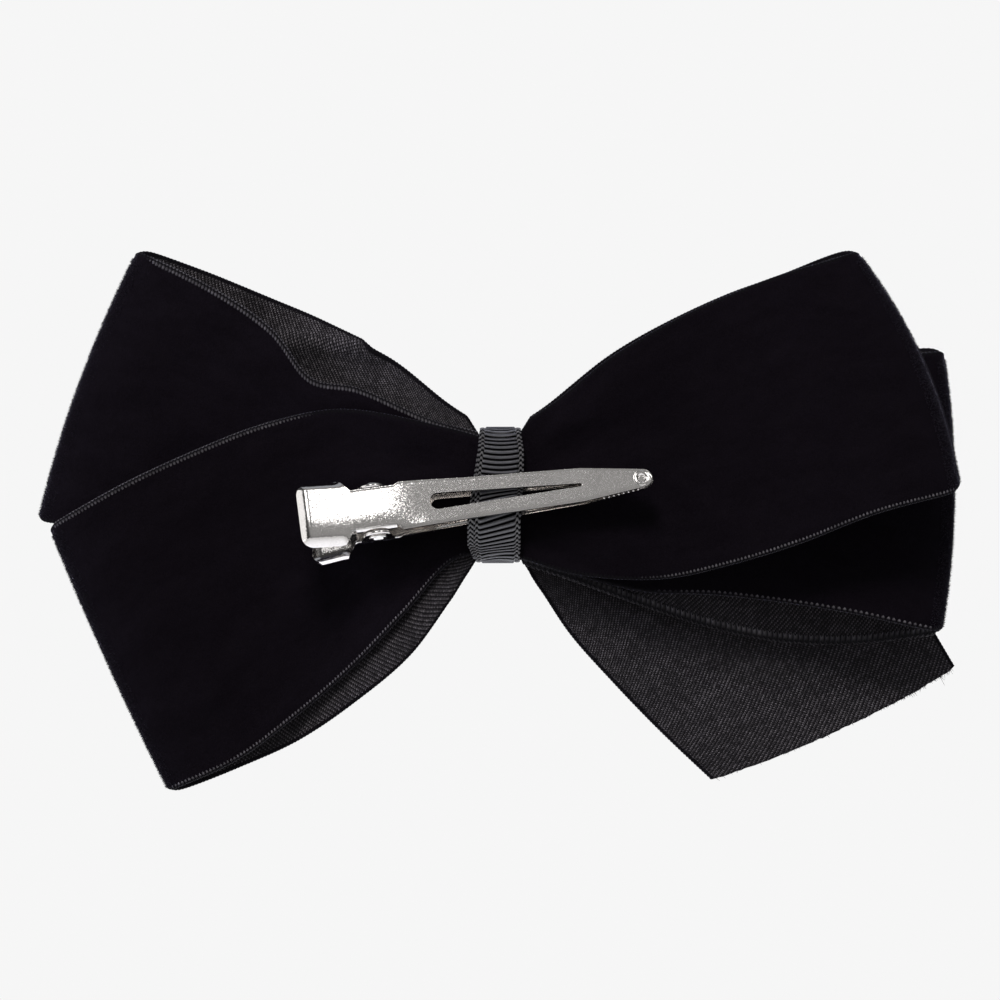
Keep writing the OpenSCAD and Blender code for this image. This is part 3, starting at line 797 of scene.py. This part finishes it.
def tail():
    """The loose end, whose woven back faces the clip, with its cut end a little frayed."""
    rng = np.random.default_rng(7)
    t = np.concatenate([np.linspace(0, 0.2, 30)[:-1], np.linspace(0.2, 1, 70)])
    v = np.linspace(0, 1, 73)
    face = ribbon_grid(TAIL, TAIL_BACK, TAIL_BACK, 0, 0, -0.05, t, 0 * t, v, (), -1)
    jagged = np.interp(v, np.linspace(0, 1, 240), 0.05 * rng.standard_normal(240))
    ahead = unit(face[-1] - face[-2])
    rounding = 0.3 + 1.2 * (4 * v * (1 - v)) ** 0.8
    face += ahead[None] * (rounding[None, :, None] * smooth(t, 0.75, 1)[:, None, None])
    face[-1] += ahead * jagged[:, None]
    length = arc_length(face[:, len(v) // 2])
    piece, behind, edge_dirs = ribbon_shell("ribbon_tail", face, length, v, 1, -1, "velvet_tail")
    # The glint on the tail's selvedge is a faint painted highlight.
    edge = selvedge_piece("ribbon_tail_selvedges", face, behind, edge_dirs, -1, 0 * t,
                          [(0, 0, 2, 60, 0.4, 0.1)])
    # Loose yarn ends along the cut, thicker where the ribbon has begun to unravel.
    points, faces = [], []
    inner, outer = face[-1], behind[-1]
    for _ in range(FRAY_COUNT):
        place = rng.random()
        worn = 0.35 + 0.65 * float(smooth(place, 0.72, 0.95)) + 0.25 * float(1 - smooth(place, 0.05, 0.2))
        depth = rng.random()
        root, forward = (
            np.array([np.interp(place, v, column) for column in line.T])
            for line in (inner * (1 - depth) + outer * depth, ahead)
        )
        size = (0.16 + 0.55 * rng.random() ** 2) * worn
        lean = 0.55 * rng.standard_normal(3)
        steps = np.linspace(0, 1, 4)[:, None]
        line = root - 0.15 * forward + forward * size * 1.15 * steps + lean * size * steps**2
        rings = tube(line, np.tile([[0.1, 1.0, 0.2]], (4, 1)), np.linspace(0.035, 0.014, 4)[:, None], 4)
        faces += capped_tube(rings, sum(len(p) for p in points))
        points.append(rings.reshape(-1, 3))
    points = np.concatenate(points)
    points[:, 0] *= -1
    fray = make_mesh("ribbon_tail_frayed_ends", points, [f[::-1] for f in faces], "bow", [FRAY])


tail()


# ------------------------------------------------------------------------------------ the band
RIB_PITCH = 0.68
RIB_H = 0.3
EDGE_W = 0.7


def band_turn(name, lift, step, columns):
    """One turn of the corded band: ribs across it, and a knotted edge on each side."""
    rings = 800
    s = np.arange(rings) / rings
    centre = round_spline(BAND_ROUTE, s)
    forward = round_spline(BAND_ROUTE, s + 0.002) - round_spline(BAND_ROUTE, s - 0.002)
    out = unit(np.stack([forward[:, 1], -forward[:, 0]], 1))
    length = arc_length(np.concatenate([centre, centre[:1]]))[:-1]
    heights, rights, lefts, steps = np.transpose(BAND_SIDES[::-1])
    right = np.interp(centre[:, 0], heights, rights)
    left = np.interp(centre[:, 0], heights, lefts + step * steps)
    w = np.linspace(0, 1, columns)[None, :]
    x = right[:, None] * (1 - w) + left[:, None] * w
    width = (left - right)[:, None]
    z = centre[:, None, 0] + 0 * x
    back = (centre[:, 1] > -2.4)[:, None]
    above = smooth(z, -0.5, 1.5)
    mid = 1 - (2 * w - 1) ** 2
    sag = 0.42 * mid * above
    slant = (w - 0.5) * width * 0.25 * (1 - above) * (1 - 0.6 * smooth(-z, 6.5, 8.2))
    arch = -0.3 * mid * smooth(-z, 5.5, 8)
    shift = np.where(back, -sag - slant - arch, 0)
    # The ribs are drawn closer together where the band turns over the ends of the waist.
    closer = 1 + 0.55 * smooth(np.abs(centre[:, 0]), 5.2, 7.6)
    count = np.cumsum(np.gradient(length) * closer)
    phase = (count * round(count[-1] / RIB_PITCH) / count[-1])[:, None] + shift / RIB_PITCH
    rib = np.sqrt(np.maximum(1 - (2 * np.mod(phase + 0.5, 1) - 1) ** 2, 0))
    aside = np.minimum(w, 1 - w) * width
    middle = smooth(aside, EDGE_W * 0.75, EDGE_W)
    knots = 0.5 + 0.5 * np.cos(2 * math.pi * (phase + (aside > EDGE_W * 0.4) * 0.5))
    groove = smooth(np.abs(aside - EDGE_W), 0, 0.16)
    h = (rib * RIB_H * middle + (0.06 + 0.14 * knots) * (1 - middle)) * (0.35 + 0.65 * groove)
    h = h - 0.12 * (1 - smooth(aside, 0, 0.2))
    hollow = 0.34 * mid * smooth(np.abs(z), 6.4, 7.8) * smooth(centre[:, 1:], -4, -2.5)
    top = lift + BAND_T - RIB_H * 0.8 + h - hollow * (lift > 0)
    outer = np.stack([x, centre[:, None, 1] + out[:, None, 1] * top, z + out[:, None, 0] * top], -1)
    inner_w = np.linspace(1, 0, 6)[None, :]
    inner_x = right[:, None] * (1 - inner_w) + left[:, None] * inner_w
    under = lift + 0.02 + 0 * inner_x
    inner = np.stack([inner_x, centre[:, None, 1] + out[:, None, 1] * under,
                      centre[:, None, 0] + out[:, None, 0] * under], -1)
    ring = np.concatenate([outer, inner], 1)
    ring[..., 1] -= GRIP_H
    size = ring.shape[1]
    # The pattern's place: ribs counted along the turn, millimetres across it.
    u = np.concatenate([np.where(aside > EDGE_W * 0.9, phase, phase + 0.5 * (aside > EDGE_W * 0.4)),
                        phase[:, :1] + 0 * inner_x], 1)
    v = np.concatenate([w * width, inner_w * width], 1)
    outer_aside = np.median(aside, axis=0)
    edge_kind = [int(a < EDGE_W) for a in (outer_aside[1:] + outer_aside[:-1]) / 2]
    kinds = np.tile(edge_kind + [1] * (size - columns + 1), rings)
    faces = [f[::-1] for f in ring_faces(rings, size, closed=True)]
    return make_mesh(name, ring.reshape(-1, 3), faces, "bow", [GROSGRAIN, GROSGRAIN_EDGE], kinds,
                     np.stack([u, v], -1).reshape(-1, 2))


band_turn("grosgrain_under_turn", 0, BAND_STEP, 45)
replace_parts(band_turn("grosgrain_outer_turn", BAND_T, 0, 57), "grosgrain_band")


# ---------------------------------------------------------------------------- binding thread
THREAD_R = 0.14
THREAD_CORNER = 0.3
THREAD_TOP = -2.02
THREAD_BOTTOM = -8.17
THREAD_LAY = 1.1


def binding_thread():
    """Five turns of two-ply thread round the waist."""
    half = WAIST_H + 0.03 + THREAD_R
    angle = np.linspace(0, 2 * math.pi, 10, endpoint=False)[None, :]
    points, faces = [], []
    for turn in range(5):
        line = []
        for k, (up, back) in enumerate([(1, 1), (1, -1), (-1, -1), (-1, 1)]):
            middle_y = THREAD_TOP - THREAD_CORNER if back > 0 else THREAD_BOTTOM + THREAD_CORNER
            middle_z = up * (half - THREAD_CORNER)
            first = math.radians(90 - 90 * k)
            for a in np.linspace(first, first - math.pi / 2, 9):
                line.append([
                    (turn - 2) * 3 * THREAD_R, middle_y + THREAD_CORNER * math.sin(a),
                    middle_z + THREAD_CORNER * math.cos(a),
                ])
        line = resample(np.array(line + line[:1]), 0.12)[1][:-1]
        count = len(line)
        twists = np.round(arc_length(line)[-1] / THREAD_LAY)
        lay = 2 * math.pi * twists * (np.arange(count) / count)[:, None]
        size = THREAD_R * (0.82 + 0.18 * np.abs(np.cos(angle - lay)))
        ring = tube(line, np.tile([[1.0, 0.0, 0.0]], (count, 1)), size, angle.size, closed=True)
        ring[..., 1] -= GRIP_H
        start = sum(len(p) for p in points)
        faces += [f[::-1] for f in ring_faces(count, angle.size, closed=True, start=start)]
        points.append(ring.reshape(-1, 3))
    piece = make_mesh("waist_thread", np.concatenate(points), faces, "bow", [THREAD])
    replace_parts(piece, "binding_thread")


binding_thread()


# -------------------------------------------------------------------------------------- clip
SKIRT_W = 1.25
UPPER_SIDE_SHARE = 0.62
CORNER_R = 1.35
SKIRT_H = 0.86
LOWER_END_SHARE = 0.6
CROWN = 0.03
DIMPLE_R = 0.75
LEVER_BEVEL = 0.13
EAR_BEVEL = 0.2
FLAP_BEVEL = 0.1
TOOTH_BEVEL = 0.05


def filleted(x, knots, blend):
    """Height of a bent line with rounded bends: knots are (x, y), blend the half length of each bend."""
    knots = np.asarray(knots, float)
    slopes = np.diff(knots[:, 1]) / np.diff(knots[:, 0])
    y = knots[0, 1] + slopes[0] * (x - knots[0, 0])
    for k in range(1, len(knots) - 1):
        d = blend[k - 1]
        rise = slopes[k] - slopes[k - 1]
        past = x - knots[k, 0]
        y = y + rise * np.where(past < -d, 0, np.where(past > d, past, (past + d) ** 2 / (4 * d)))
    return y


def half_width(x, neck, handle, end):
    """Half the width of a lever at distances along it."""
    jaw_x, jaw_w = np.transpose(JAW_HALF)
    jaw = np.interp(x, jaw_x, jaw_w)
    tip = np.sqrt(np.maximum(TIP_R**2 - np.minimum(x - TIP_X, 0) ** 2, 0))
    nose = np.interp(x, [TIP_X, jaw_x[0]], [TIP_R, jaw_w[0]])
    w = np.where(x < TIP_X, tip, np.where(x < jaw_x[0], nose, jaw))
    shoulder = smooth(x, 12.7, 13.5)
    w = w * (1 - shoulder) + neck * shoulder
    flare = np.clip((x - NECK_END) / HANDLE_FLARE, 0, 1)
    w = np.where(x > NECK_END, neck + (handle - neck) * flare, w)
    corner = np.clip((x - end) / CORNER_R + 1, 0, 1)
    return w - CORNER_R * (1 - np.sqrt(1 - corner**2))


def lever_stations(end):
    """Distances along a lever, closer together where its outline turns."""
    quarter = np.linspace(0, math.pi / 2, 14)
    (thin_x, thin_r), (wide_x, wide_r) = SLOT
    x = np.concatenate([
        TIP_X - TIP_R * np.cos(np.linspace(0.12, math.pi / 2, 14)),
        thin_x - thin_r * np.cos(np.linspace(0, math.pi / 2, 6)), wide_x + wide_r * np.sin(quarter),
        end - CORNER_R * (1 - np.sin(np.linspace(0, math.pi / 2, 11))),
        np.arange(TIP_X, -17.6, 0.07), np.arange(-17.6, 12.5, 0.33), np.arange(12.5, 14, 0.1),
        np.arange(14, 19, 0.3), [19, 19.15, NECK_END + 0.1, 19.45], np.arange(19.6, end - CORNER_R, 0.14),
    ])
    x = np.unique(np.round(x, 4))
    return x[np.concatenate([[True], np.diff(x) > 0.004])]


def slot_half(x):
    """Half the width of the slot, which is round at both ends."""
    (thin_x, thin_r), (wide_x, wide_r) = SLOT
    thin = np.sqrt(np.maximum(thin_r**2 - (x - thin_x) ** 2, 0))
    wide = np.sqrt(np.maximum(wide_r**2 - (x - wide_x) ** 2, 0))
    straight = np.interp(x, [thin_x, wide_x], [thin_r, wide_r])
    w = np.where(x < thin_x, thin, np.where(x > wide_x, wide, straight))
    return np.where(w < 0.03, 0, w)


def lever_height(x, z, knots, blend, handle, end, sign, outer):
    """Height of a lever's sheet: its bends, and what pressing does to its rim and tip."""
    y = filleted(x, knots, blend)
    # The handle's rim is turned towards the other lever, with a crisp edge round a flat plateau.
    # The lower handle's end is turned in less, so that the handles clear each other when pressed.
    aside = np.abs(z)
    on_handle = smooth(x, NECK_END, NECK_END + HANDLE_FLARE + 0.9)
    side_w = np.where(z > 0, SKIRT_W * UPPER_SIDE_SHARE, SKIRT_W)
    side_ramp = np.clip(1 - (handle - aside) / side_w, 0, 1)
    end_ramp = np.clip(1 - (end - x) / SKIRT_W, 0, 1) * (1 if sign > 0 else LOWER_END_SHARE)
    ramp = np.minimum(np.hypot(side_ramp, end_ramp), 1.15)
    y = y - sign * SKIRT_H * ramp**1.5 * on_handle
    # The neck and handle are crowned a little towards their lower side.
    y = y - sign * CROWN * np.clip(-z, 0, handle - SKIRT_W) ** 2 * smooth(x, 9, 14)
    if sign > 0:
        from_dimple = np.hypot(x - (TIP_X + 0.15), z)
        ring = np.exp(-(((from_dimple - DIMPLE_R) / 0.14) ** 2))
        y = y - 0.2 * (1 - smooth(from_dimple, DIMPLE_R - 0.3, DIMPLE_R)) + 0.08 * ring
    # The jaw's long sides are rolled over slightly, as pressing leaves them.
    roll = 1 - smooth(outer[:, None] - aside, 0, 0.45)
    return y - sign * 0.07 * roll * (x < NECK_END)


def lever(name, node, body, knots, blend, neck, handle, end, sign, fold_in=0):
    """A pressed sheet-metal lever: slotted jaw, neck and a handle whose sides are turned in."""
    along = lever_stations(end)
    outer = half_width(along, neck, handle, end)
    folded = half_width(along, neck - fold_in, handle, end)
    inner = slot_half(along)
    share = 0.5 - 0.5 * np.cos(np.linspace(0, math.pi, 25))
    share = 0.6 * share + 0.4 * np.linspace(0, 1, 25)
    right = -folded[:, None] + (folded - inner)[:, None] * share[None, :]
    left = inner[:, None] + (outer - inner)[:, None] * (1 - share[::-1])[None, :]
    z = np.concatenate([right, left], 1)
    x = along[:, None] + 0 * z
    grid = clip_frame(np.stack([x, lever_height(x, z, knots, blend, handle, end, sign, outer), z], -1))
    columns = z.shape[1]
    mesh = bmesh.new()
    made = [mesh.verts.new(p * MM) for p in grid.reshape(-1, 3)]
    for i in range(len(along) - 1):
        for j in range(columns - 1):
            in_slot = j == columns // 2 - 1 and (inner[i] > 0 or inner[i + 1] > 0)
            if not in_slot:
                a, b = i * columns + j, (i + 1) * columns + j
                mesh.faces.new([made[k] for k in (a, b, b + 1, a + 1)])
    # The upper lever has a crisp line where its handle is bent up from the neck.
    row = int(np.argmin(np.abs(along - NECK_END - 0.1))) * columns
    bend = set(made[row:row + columns]) if sign > 0 else set()
    bmesh.ops.remove_doubles(mesh, verts=mesh.verts, dist=1.5e-6)
    bend = {v for v in bend if v.is_valid}
    bmesh.ops.dissolve_degenerate(mesh, dist=1e-6, edges=mesh.edges)
    bmesh.ops.recalc_face_normals(mesh, faces=mesh.faces)
    mesh.faces.ensure_lookup_table()
    mesh.normal_update()
    if sum(f.normal.y for f in mesh.faces) < 0:
        bmesh.ops.reverse_faces(mesh, faces=mesh.faces)
    for edge in mesh.edges:
        edge.smooth = not (edge.verts[0] in bend and edge.verts[1] in bend)
    piece = from_bmesh(name, mesh, PLATE)
    thick = piece.modifiers.new("thickness", "SOLIDIFY")
    thick.thickness = SHEET_T * MM
    thick.offset = 0
    bevel(piece, LEVER_BEVEL, angle=50)
    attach(piece, body)
    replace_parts(piece, node)


def ear(name, body, side, half, radius, top, flare):
    """An ear: round about the pin, with straight sides running to the lever at the height top."""
    hangs = top > HINGE_Y
    turn = np.radians(np.linspace(180, 360, 25) if hangs else np.linspace(0, 180, 25))
    outline = [(HINGE_X + radius * math.cos(a), HINGE_Y + radius * math.sin(a)) for a in turn]
    ends = [(HINGE_X + radius + flare, top), (HINGE_X - radius - flare, top)]
    outline += ends if hangs else ends[::-1]
    walls = sorted((side * half, side * (half - SHEET_T)))
    rings = np.array([[(x, y, z) for x, y in outline] for z in walls])
    points = clip_frame(rings.reshape(-1, 3))
    bevel(make_mesh(name, points, capped_tube(rings), body, [PLATE]), EAR_BEVEL)


def flap(name, side):
    """The fold at the neck's side from which an upper ear hangs: a quarter round and a short wall."""
    turn = np.radians(np.linspace(90, 0, 9)) if side < 0 else [0]
    inside = NECK_HALF - SHEET_T
    low = NECK_Y + 0.1 - FLAP_H
    outline = [(inside + SHEET_T * math.cos(a), NECK_Y + SHEET_T * math.sin(a)) for a in turn]
    outline += [(NECK_HALF, low), (inside, low), (inside, NECK_Y)]
    rings = np.array([
        [(HINGE_X + x, y, side * z) for z, y in outline] for x in (-FLAP_HALF, 0, FLAP_HALF)
    ])
    faces = capped_tube(rings)
    if side < 0:
        faces = [f[::-1] for f in faces]
    points = clip_frame(rings.reshape(-1, 3))
    bevel(make_mesh(name, points, faces, "upper_lever", [PLATE]), FLAP_BEVEL)


def levers():
    """Both levers with their ears, each bent line given as distance along and height of its middle."""
    neck_y = NECK_Y + SHEET_T / 2
    jaw_y = PLATE_Y - SHEET_T / 2
    lever("clip_lever_upper", "clip_upper_lever", "upper_lever", [
        [TIP_X - 2, PLATE_Y + TIP_GAP + SHEET_T / 2], [NECK_START, neck_y], [NECK_END + 0.1, neck_y],
        [UPPER_END + 1, neck_y + (UPPER_END + 1 - NECK_END) * UPPER_SLOPE],
    ], [2.4, 0.02], NECK_HALF, HANDLE_HALF, UPPER_END, 1, FOLD_IN)
    lever("clip_lever_lower", "clip_lower_lever", "bow", [
        [TIP_X - 2, jaw_y], [NECK_END, jaw_y],
        [LOWER_END + 1, jaw_y - (LOWER_END + 1 - NECK_END) * LOWER_SLOPE],
    ], [0.5], LOWER_NECK_HALF, LOWER_HANDLE_HALF, LOWER_END, -1)
    for side, word in ((-1, "right"), (1, "left")):
        ear(f"clip_ear_upper_{word}", "upper_lever", side, NECK_HALF, 1.6, NECK_Y + 0.1, 0.35)
        flap(f"clip_fold_upper_{word}", side)
        ear(f"clip_ear_lower_{word}", "bow", side, LOWER_NECK_HALF, 1.9, PLATE_Y - 0.1, 0.5)


def teeth():
    """Small pressed teeth along both sides of the lower jaw's tip."""
    corners = ((-1, -1), (1, -1), (1, 1), (-1, 1))
    points, faces = [], []
    for side in (-1, 1):
        for i in range(8):
            x, z = TIP_X + 0.75 + i * 0.65, side * (1.2 + i * 0.08)
            rings = np.array([
                [(x + a * half_x, PLATE_Y + y, z + b * half_z) for a, b in corners]
                for y, half_x, half_z in ((-0.05, 0.21, 0.2), (0.38, 0.11, 0.14))
            ])
            faces += [f[::-1] for f in capped_tube(rings, 8 * len(points))]
            points.append(rings.reshape(-1, 3))
    points = clip_frame(np.concatenate(points))
    bevel(make_mesh("clip_teeth", points, faces, "bow", [PLATE]), TOOTH_BEVEL, 2, 30)


def hinge_pin():
    """A turned pin with domed, pressed heads, lathed about the hinge line."""
    half = LOWER_NECK_HALF + 0.01
    head = [
        (0.5, 0), (0.5, 0.4), (0.46, 0.6), (0.38, 0.74), (0.26, 0.8), (0.25, 1.06), (0.21, 1.15),
        (0.13, PIN_HEAD_R), (0.05, PIN_HEAD_R), (0, PIN_HEAD_R - 0.04), (0, PIN_R),
    ]
    profile = [(-half - out, r) for out, r in head] + [(half + out, r) for out, r in head[::-1]]
    sides = 40
    angle = np.linspace(0, 2 * math.pi, sides, endpoint=False)
    points = [
        (HINGE_X + r * math.cos(a), HINGE_Y + r * math.sin(a), z) for z, r in profile[1:-1] for a in angle
    ]
    rings = len(profile) - 2
    faces = ring_faces(rings, sides)
    first, last, end = len(points), len(points) + 1, (rings - 1) * sides
    points += [(HINGE_X, HINGE_Y, profile[0][0]), (HINGE_X, HINGE_Y, profile[-1][0])]
    faces += [[first, (k + 1) % sides, k] for k in range(sides)]
    faces += [[last, end + k, end + (k + 1) % sides] for k in range(sides)]
    piece = make_mesh("clip_hinge_pin", clip_frame(points), faces, "bow", [PIN_STEEL])
    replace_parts(piece, "hinge_pin")


def torsion_spring():
    """A coil round the pin, whose two legs press the handles apart."""
    coil = PIN_R + 0.1 + WIRE_R
    z_low, z_high = -COIL_LEN / 2 + WIRE_R, COIL_LEN / 2 - WIRE_R
    turns = round(COIL_LEN / (2.06 * WIRE_R) - 1)
    share = np.linspace(0, 1, 26 * turns)
    a = -math.pi / 2 + 2 * math.pi * turns * share + math.pi * share
    z = z_low + (z_high - z_low) * share
    helix = np.stack([HINGE_X + coil * np.cos(a), HINGE_Y + coil * np.sin(a), z], 1)
    leg_x = 23.4
    reach = leg_x - NECK_END
    low_leg = np.array([
        [leg_x, PLATE_Y - reach * LOWER_SLOPE + 0.15 + WIRE_R, z_low], [NECK_END, PLATE_Y + 0.52, z_low],
        [HINGE_X + 0.9, HINGE_Y - coil - 0.05, z_low], [HINGE_X + 0.3, HINGE_Y - coil, z_low],
    ])
    high_leg = np.array([
        helix[-1], [NECK_END, HINGE_Y + coil, z_high], [leg_x, HINGE_Y + coil + reach * UPPER_SLOPE, z_high],
    ])
    line = np.concatenate([resample(low_leg, 0.25)[1][:-1], helix, resample(high_leg, 0.25)[1][1:]])
    rings = tube(line, np.tile([[0.0, 0.0, 1.0]], (len(line), 1)), WIRE_R * 0.97, 12)
    points = clip_frame(rings.reshape(-1, 3))
    piece = make_mesh("clip_spring", points, capped_tube(rings), None, [SPRING_STEEL])
    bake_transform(piece)
    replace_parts(piece, "torsion_spring")


def glue_blob():
    """The pad of set glue between the lower lever and the velvet, pressed out at its sides."""
    mesh = bmesh.new()
    bmesh.ops.create_icosphere(mesh, subdivisions=5, radius=1)
    for vert in mesh.verts:
        p = np.array(vert.co)
        q = np.sign(p) * np.abs(p) ** 0.55
        q /= max(1e-9, np.max(np.abs(q)) ** 0.35)
        wobble = 1 + 0.05 * math.sin(5 * p[0] + 3 * p[2]) + 0.04 * math.sin(7 * p[2] - 4 * p[0])
        spot = (11.4 + 2 * q[0] * wobble, PLATE_Y - SHEET_T - 0.55 + 0.58 * q[1], 1.62 * q[2] * wobble)
        vert.co = Vector(clip_frame(spot) * MM)
    piece = from_bmesh("clip_glue", mesh, GLUE)
    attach(piece, "bow")
    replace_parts(piece, "glue_pad")


levers()
teeth()
hinge_pin()
torsion_spring()
glue_blob()


# ------------------------------------------------------------------- camera, light and floor
VIEW_W = 131.58
VIEW_D = 1400
VIEW_PLANE_Y = -12
VIEW_CENTRE = (-0.13, -0.66)
SENSOR_W = 36
COOL = (0.86, 0.9, 1.0)
COOLER = (0.86, 0.88, 1.0)
COOLEST = (0.78, 0.8, 1.0)


def camera():
    """Straight at the clip side of the bow, from far enough away to be nearly without perspective."""
    data = bpy.data.cameras.new("camera")
    data.sensor_width = SENSOR_W
    data.lens = SENSOR_W * VIEW_D / VIEW_W
    data.clip_start = 0.01
    data.clip_end = 50
    eye = add_object("camera", data)
    eye.location = (VIEW_CENTRE[0] * MM, (VIEW_PLANE_Y + VIEW_D) * MM, VIEW_CENTRE[1] * MM)
    eye.rotation_euler = (math.pi / 2, 0, math.pi)
    bpy.context.scene.camera = eye


def softbox(name, place, width, height, radiance, tint=(1, 1, 1), in_metal=True, on_cloth=True):
    """A lit panel turned to the bow. Metal shows its reflection, cloth shows its light."""
    data = bpy.data.lights.new(name, "AREA")
    data.shape = "RECTANGLE"
    data.size = width
    data.size_y = height
    data.energy = radiance * math.pi * width * height
    data.color = tint
    lamp = add_object(name, data)
    lamp.location = place
    lamp.rotation_mode = "QUATERNION"
    lamp.rotation_quaternion = (-Vector(place)).to_track_quat("-Z", "Y")
    lamp.visible_camera = False
    lamp.visible_glossy = in_metal
    lamp.visible_diffuse = on_cloth


def world():
    """Pale behind the bow, a dimmer room in the metal and dimmer again on the cloth."""
    bpy.context.scene.view_settings.view_transform = "Standard"
    sky = bpy.data.worlds.new("studio")
    sky.use_nodes = True
    n = Nodes(sky.node_tree)
    brightest = Vector((-0.25, 0.78, 0.56)).normalized()
    facing = n.vector("DOT_PRODUCT", n.add("TexCoord").outputs["Generated"], brightest)
    room = n.range(facing.outputs["Value"], 0.55, 0.95, 0.05, 0.34)
    rays = n.add("LightPath")
    shade = n.add("Background", colour(0.17, 0.17, 0.178))
    for ray, light in (("Is Glossy Ray", room), ("Is Camera Ray", colour(0.922, 0.922, 0.922))):
        seen = n.add("Background", light)
        shade = n.add("MixShader", rays.outputs[ray], shade.outputs[0], seen.outputs[0])
    n.join(shade.outputs[0], n.tree.nodes["World Output"].inputs[0])
    bpy.context.scene.world = sky


def floor():
    """A pale round floor well below the bow, which gives the cloth no light from below."""
    mesh = bmesh.new()
    bmesh.ops.create_circle(mesh, cap_ends=True, radius=8, segments=96)
    t = Material("pale_floor")
    pale = t.finish(
        Base_Color=t.mix(t.noise(3, 2, 0.5), colour(0.80, 0.80, 0.80), colour(0.84, 0.84, 0.84)),
        Roughness=0.9, Specular_IOR_Level=0.1, Emission_Color=colour(1, 1, 1), Emission_Strength=0.6,
    )
    piece = from_bmesh("floor", mesh, pale, smooth_faces=False)
    piece.location = (0, 0, -0.9)
    piece.visible_diffuse = False


camera()
world()
floor()
softbox("neck_box", (0.26, 1.02, 0.76), 0.42, 0.46, 4.0, on_cloth=False)
softbox("handle_box", (-0.56, 0.87, 0.78), 0.33, 0.46, 4.0, on_cloth=False)
softbox("cloth_key", (0.2, 1.0, 1.06), 0.36, 0.36, 44.0, in_metal=False)
softbox("top", (0.0, -0.3, 1.3), 1.4, 0.7, 5.0, COOL, in_metal=False)
softbox("below", (0.0, 0.1, -1.2), 1.0, 0.5, 2.5, COOLER, in_metal=False)
softbox("rim_left", (1.3, 0.1, 0.05), 0.8, 1.0, 6.5, COOLEST, in_metal=False)
softbox("rim_right", (-1.3, 0.1, 0.05), 0.8, 1.0, 2.0, COOLEST, in_metal=False)
softbox("front", (0.25, -1.1, 0.5), 0.9, 0.7, 4.0, COOLER, in_metal=False)
softbox("top_in_metal", (0.0, -0.2, 1.3), 1.4, 0.9, 0.4, COOL, on_cloth=False)
softbox("back_in_metal", (0.0, -1.0, 0.95), 1.4, 0.5, 1.8, COOL, on_cloth=False)
softbox("side_in_metal", (1.22, 0.32, 0.25), 1.2, 1.2, 1.2, on_cloth=False)
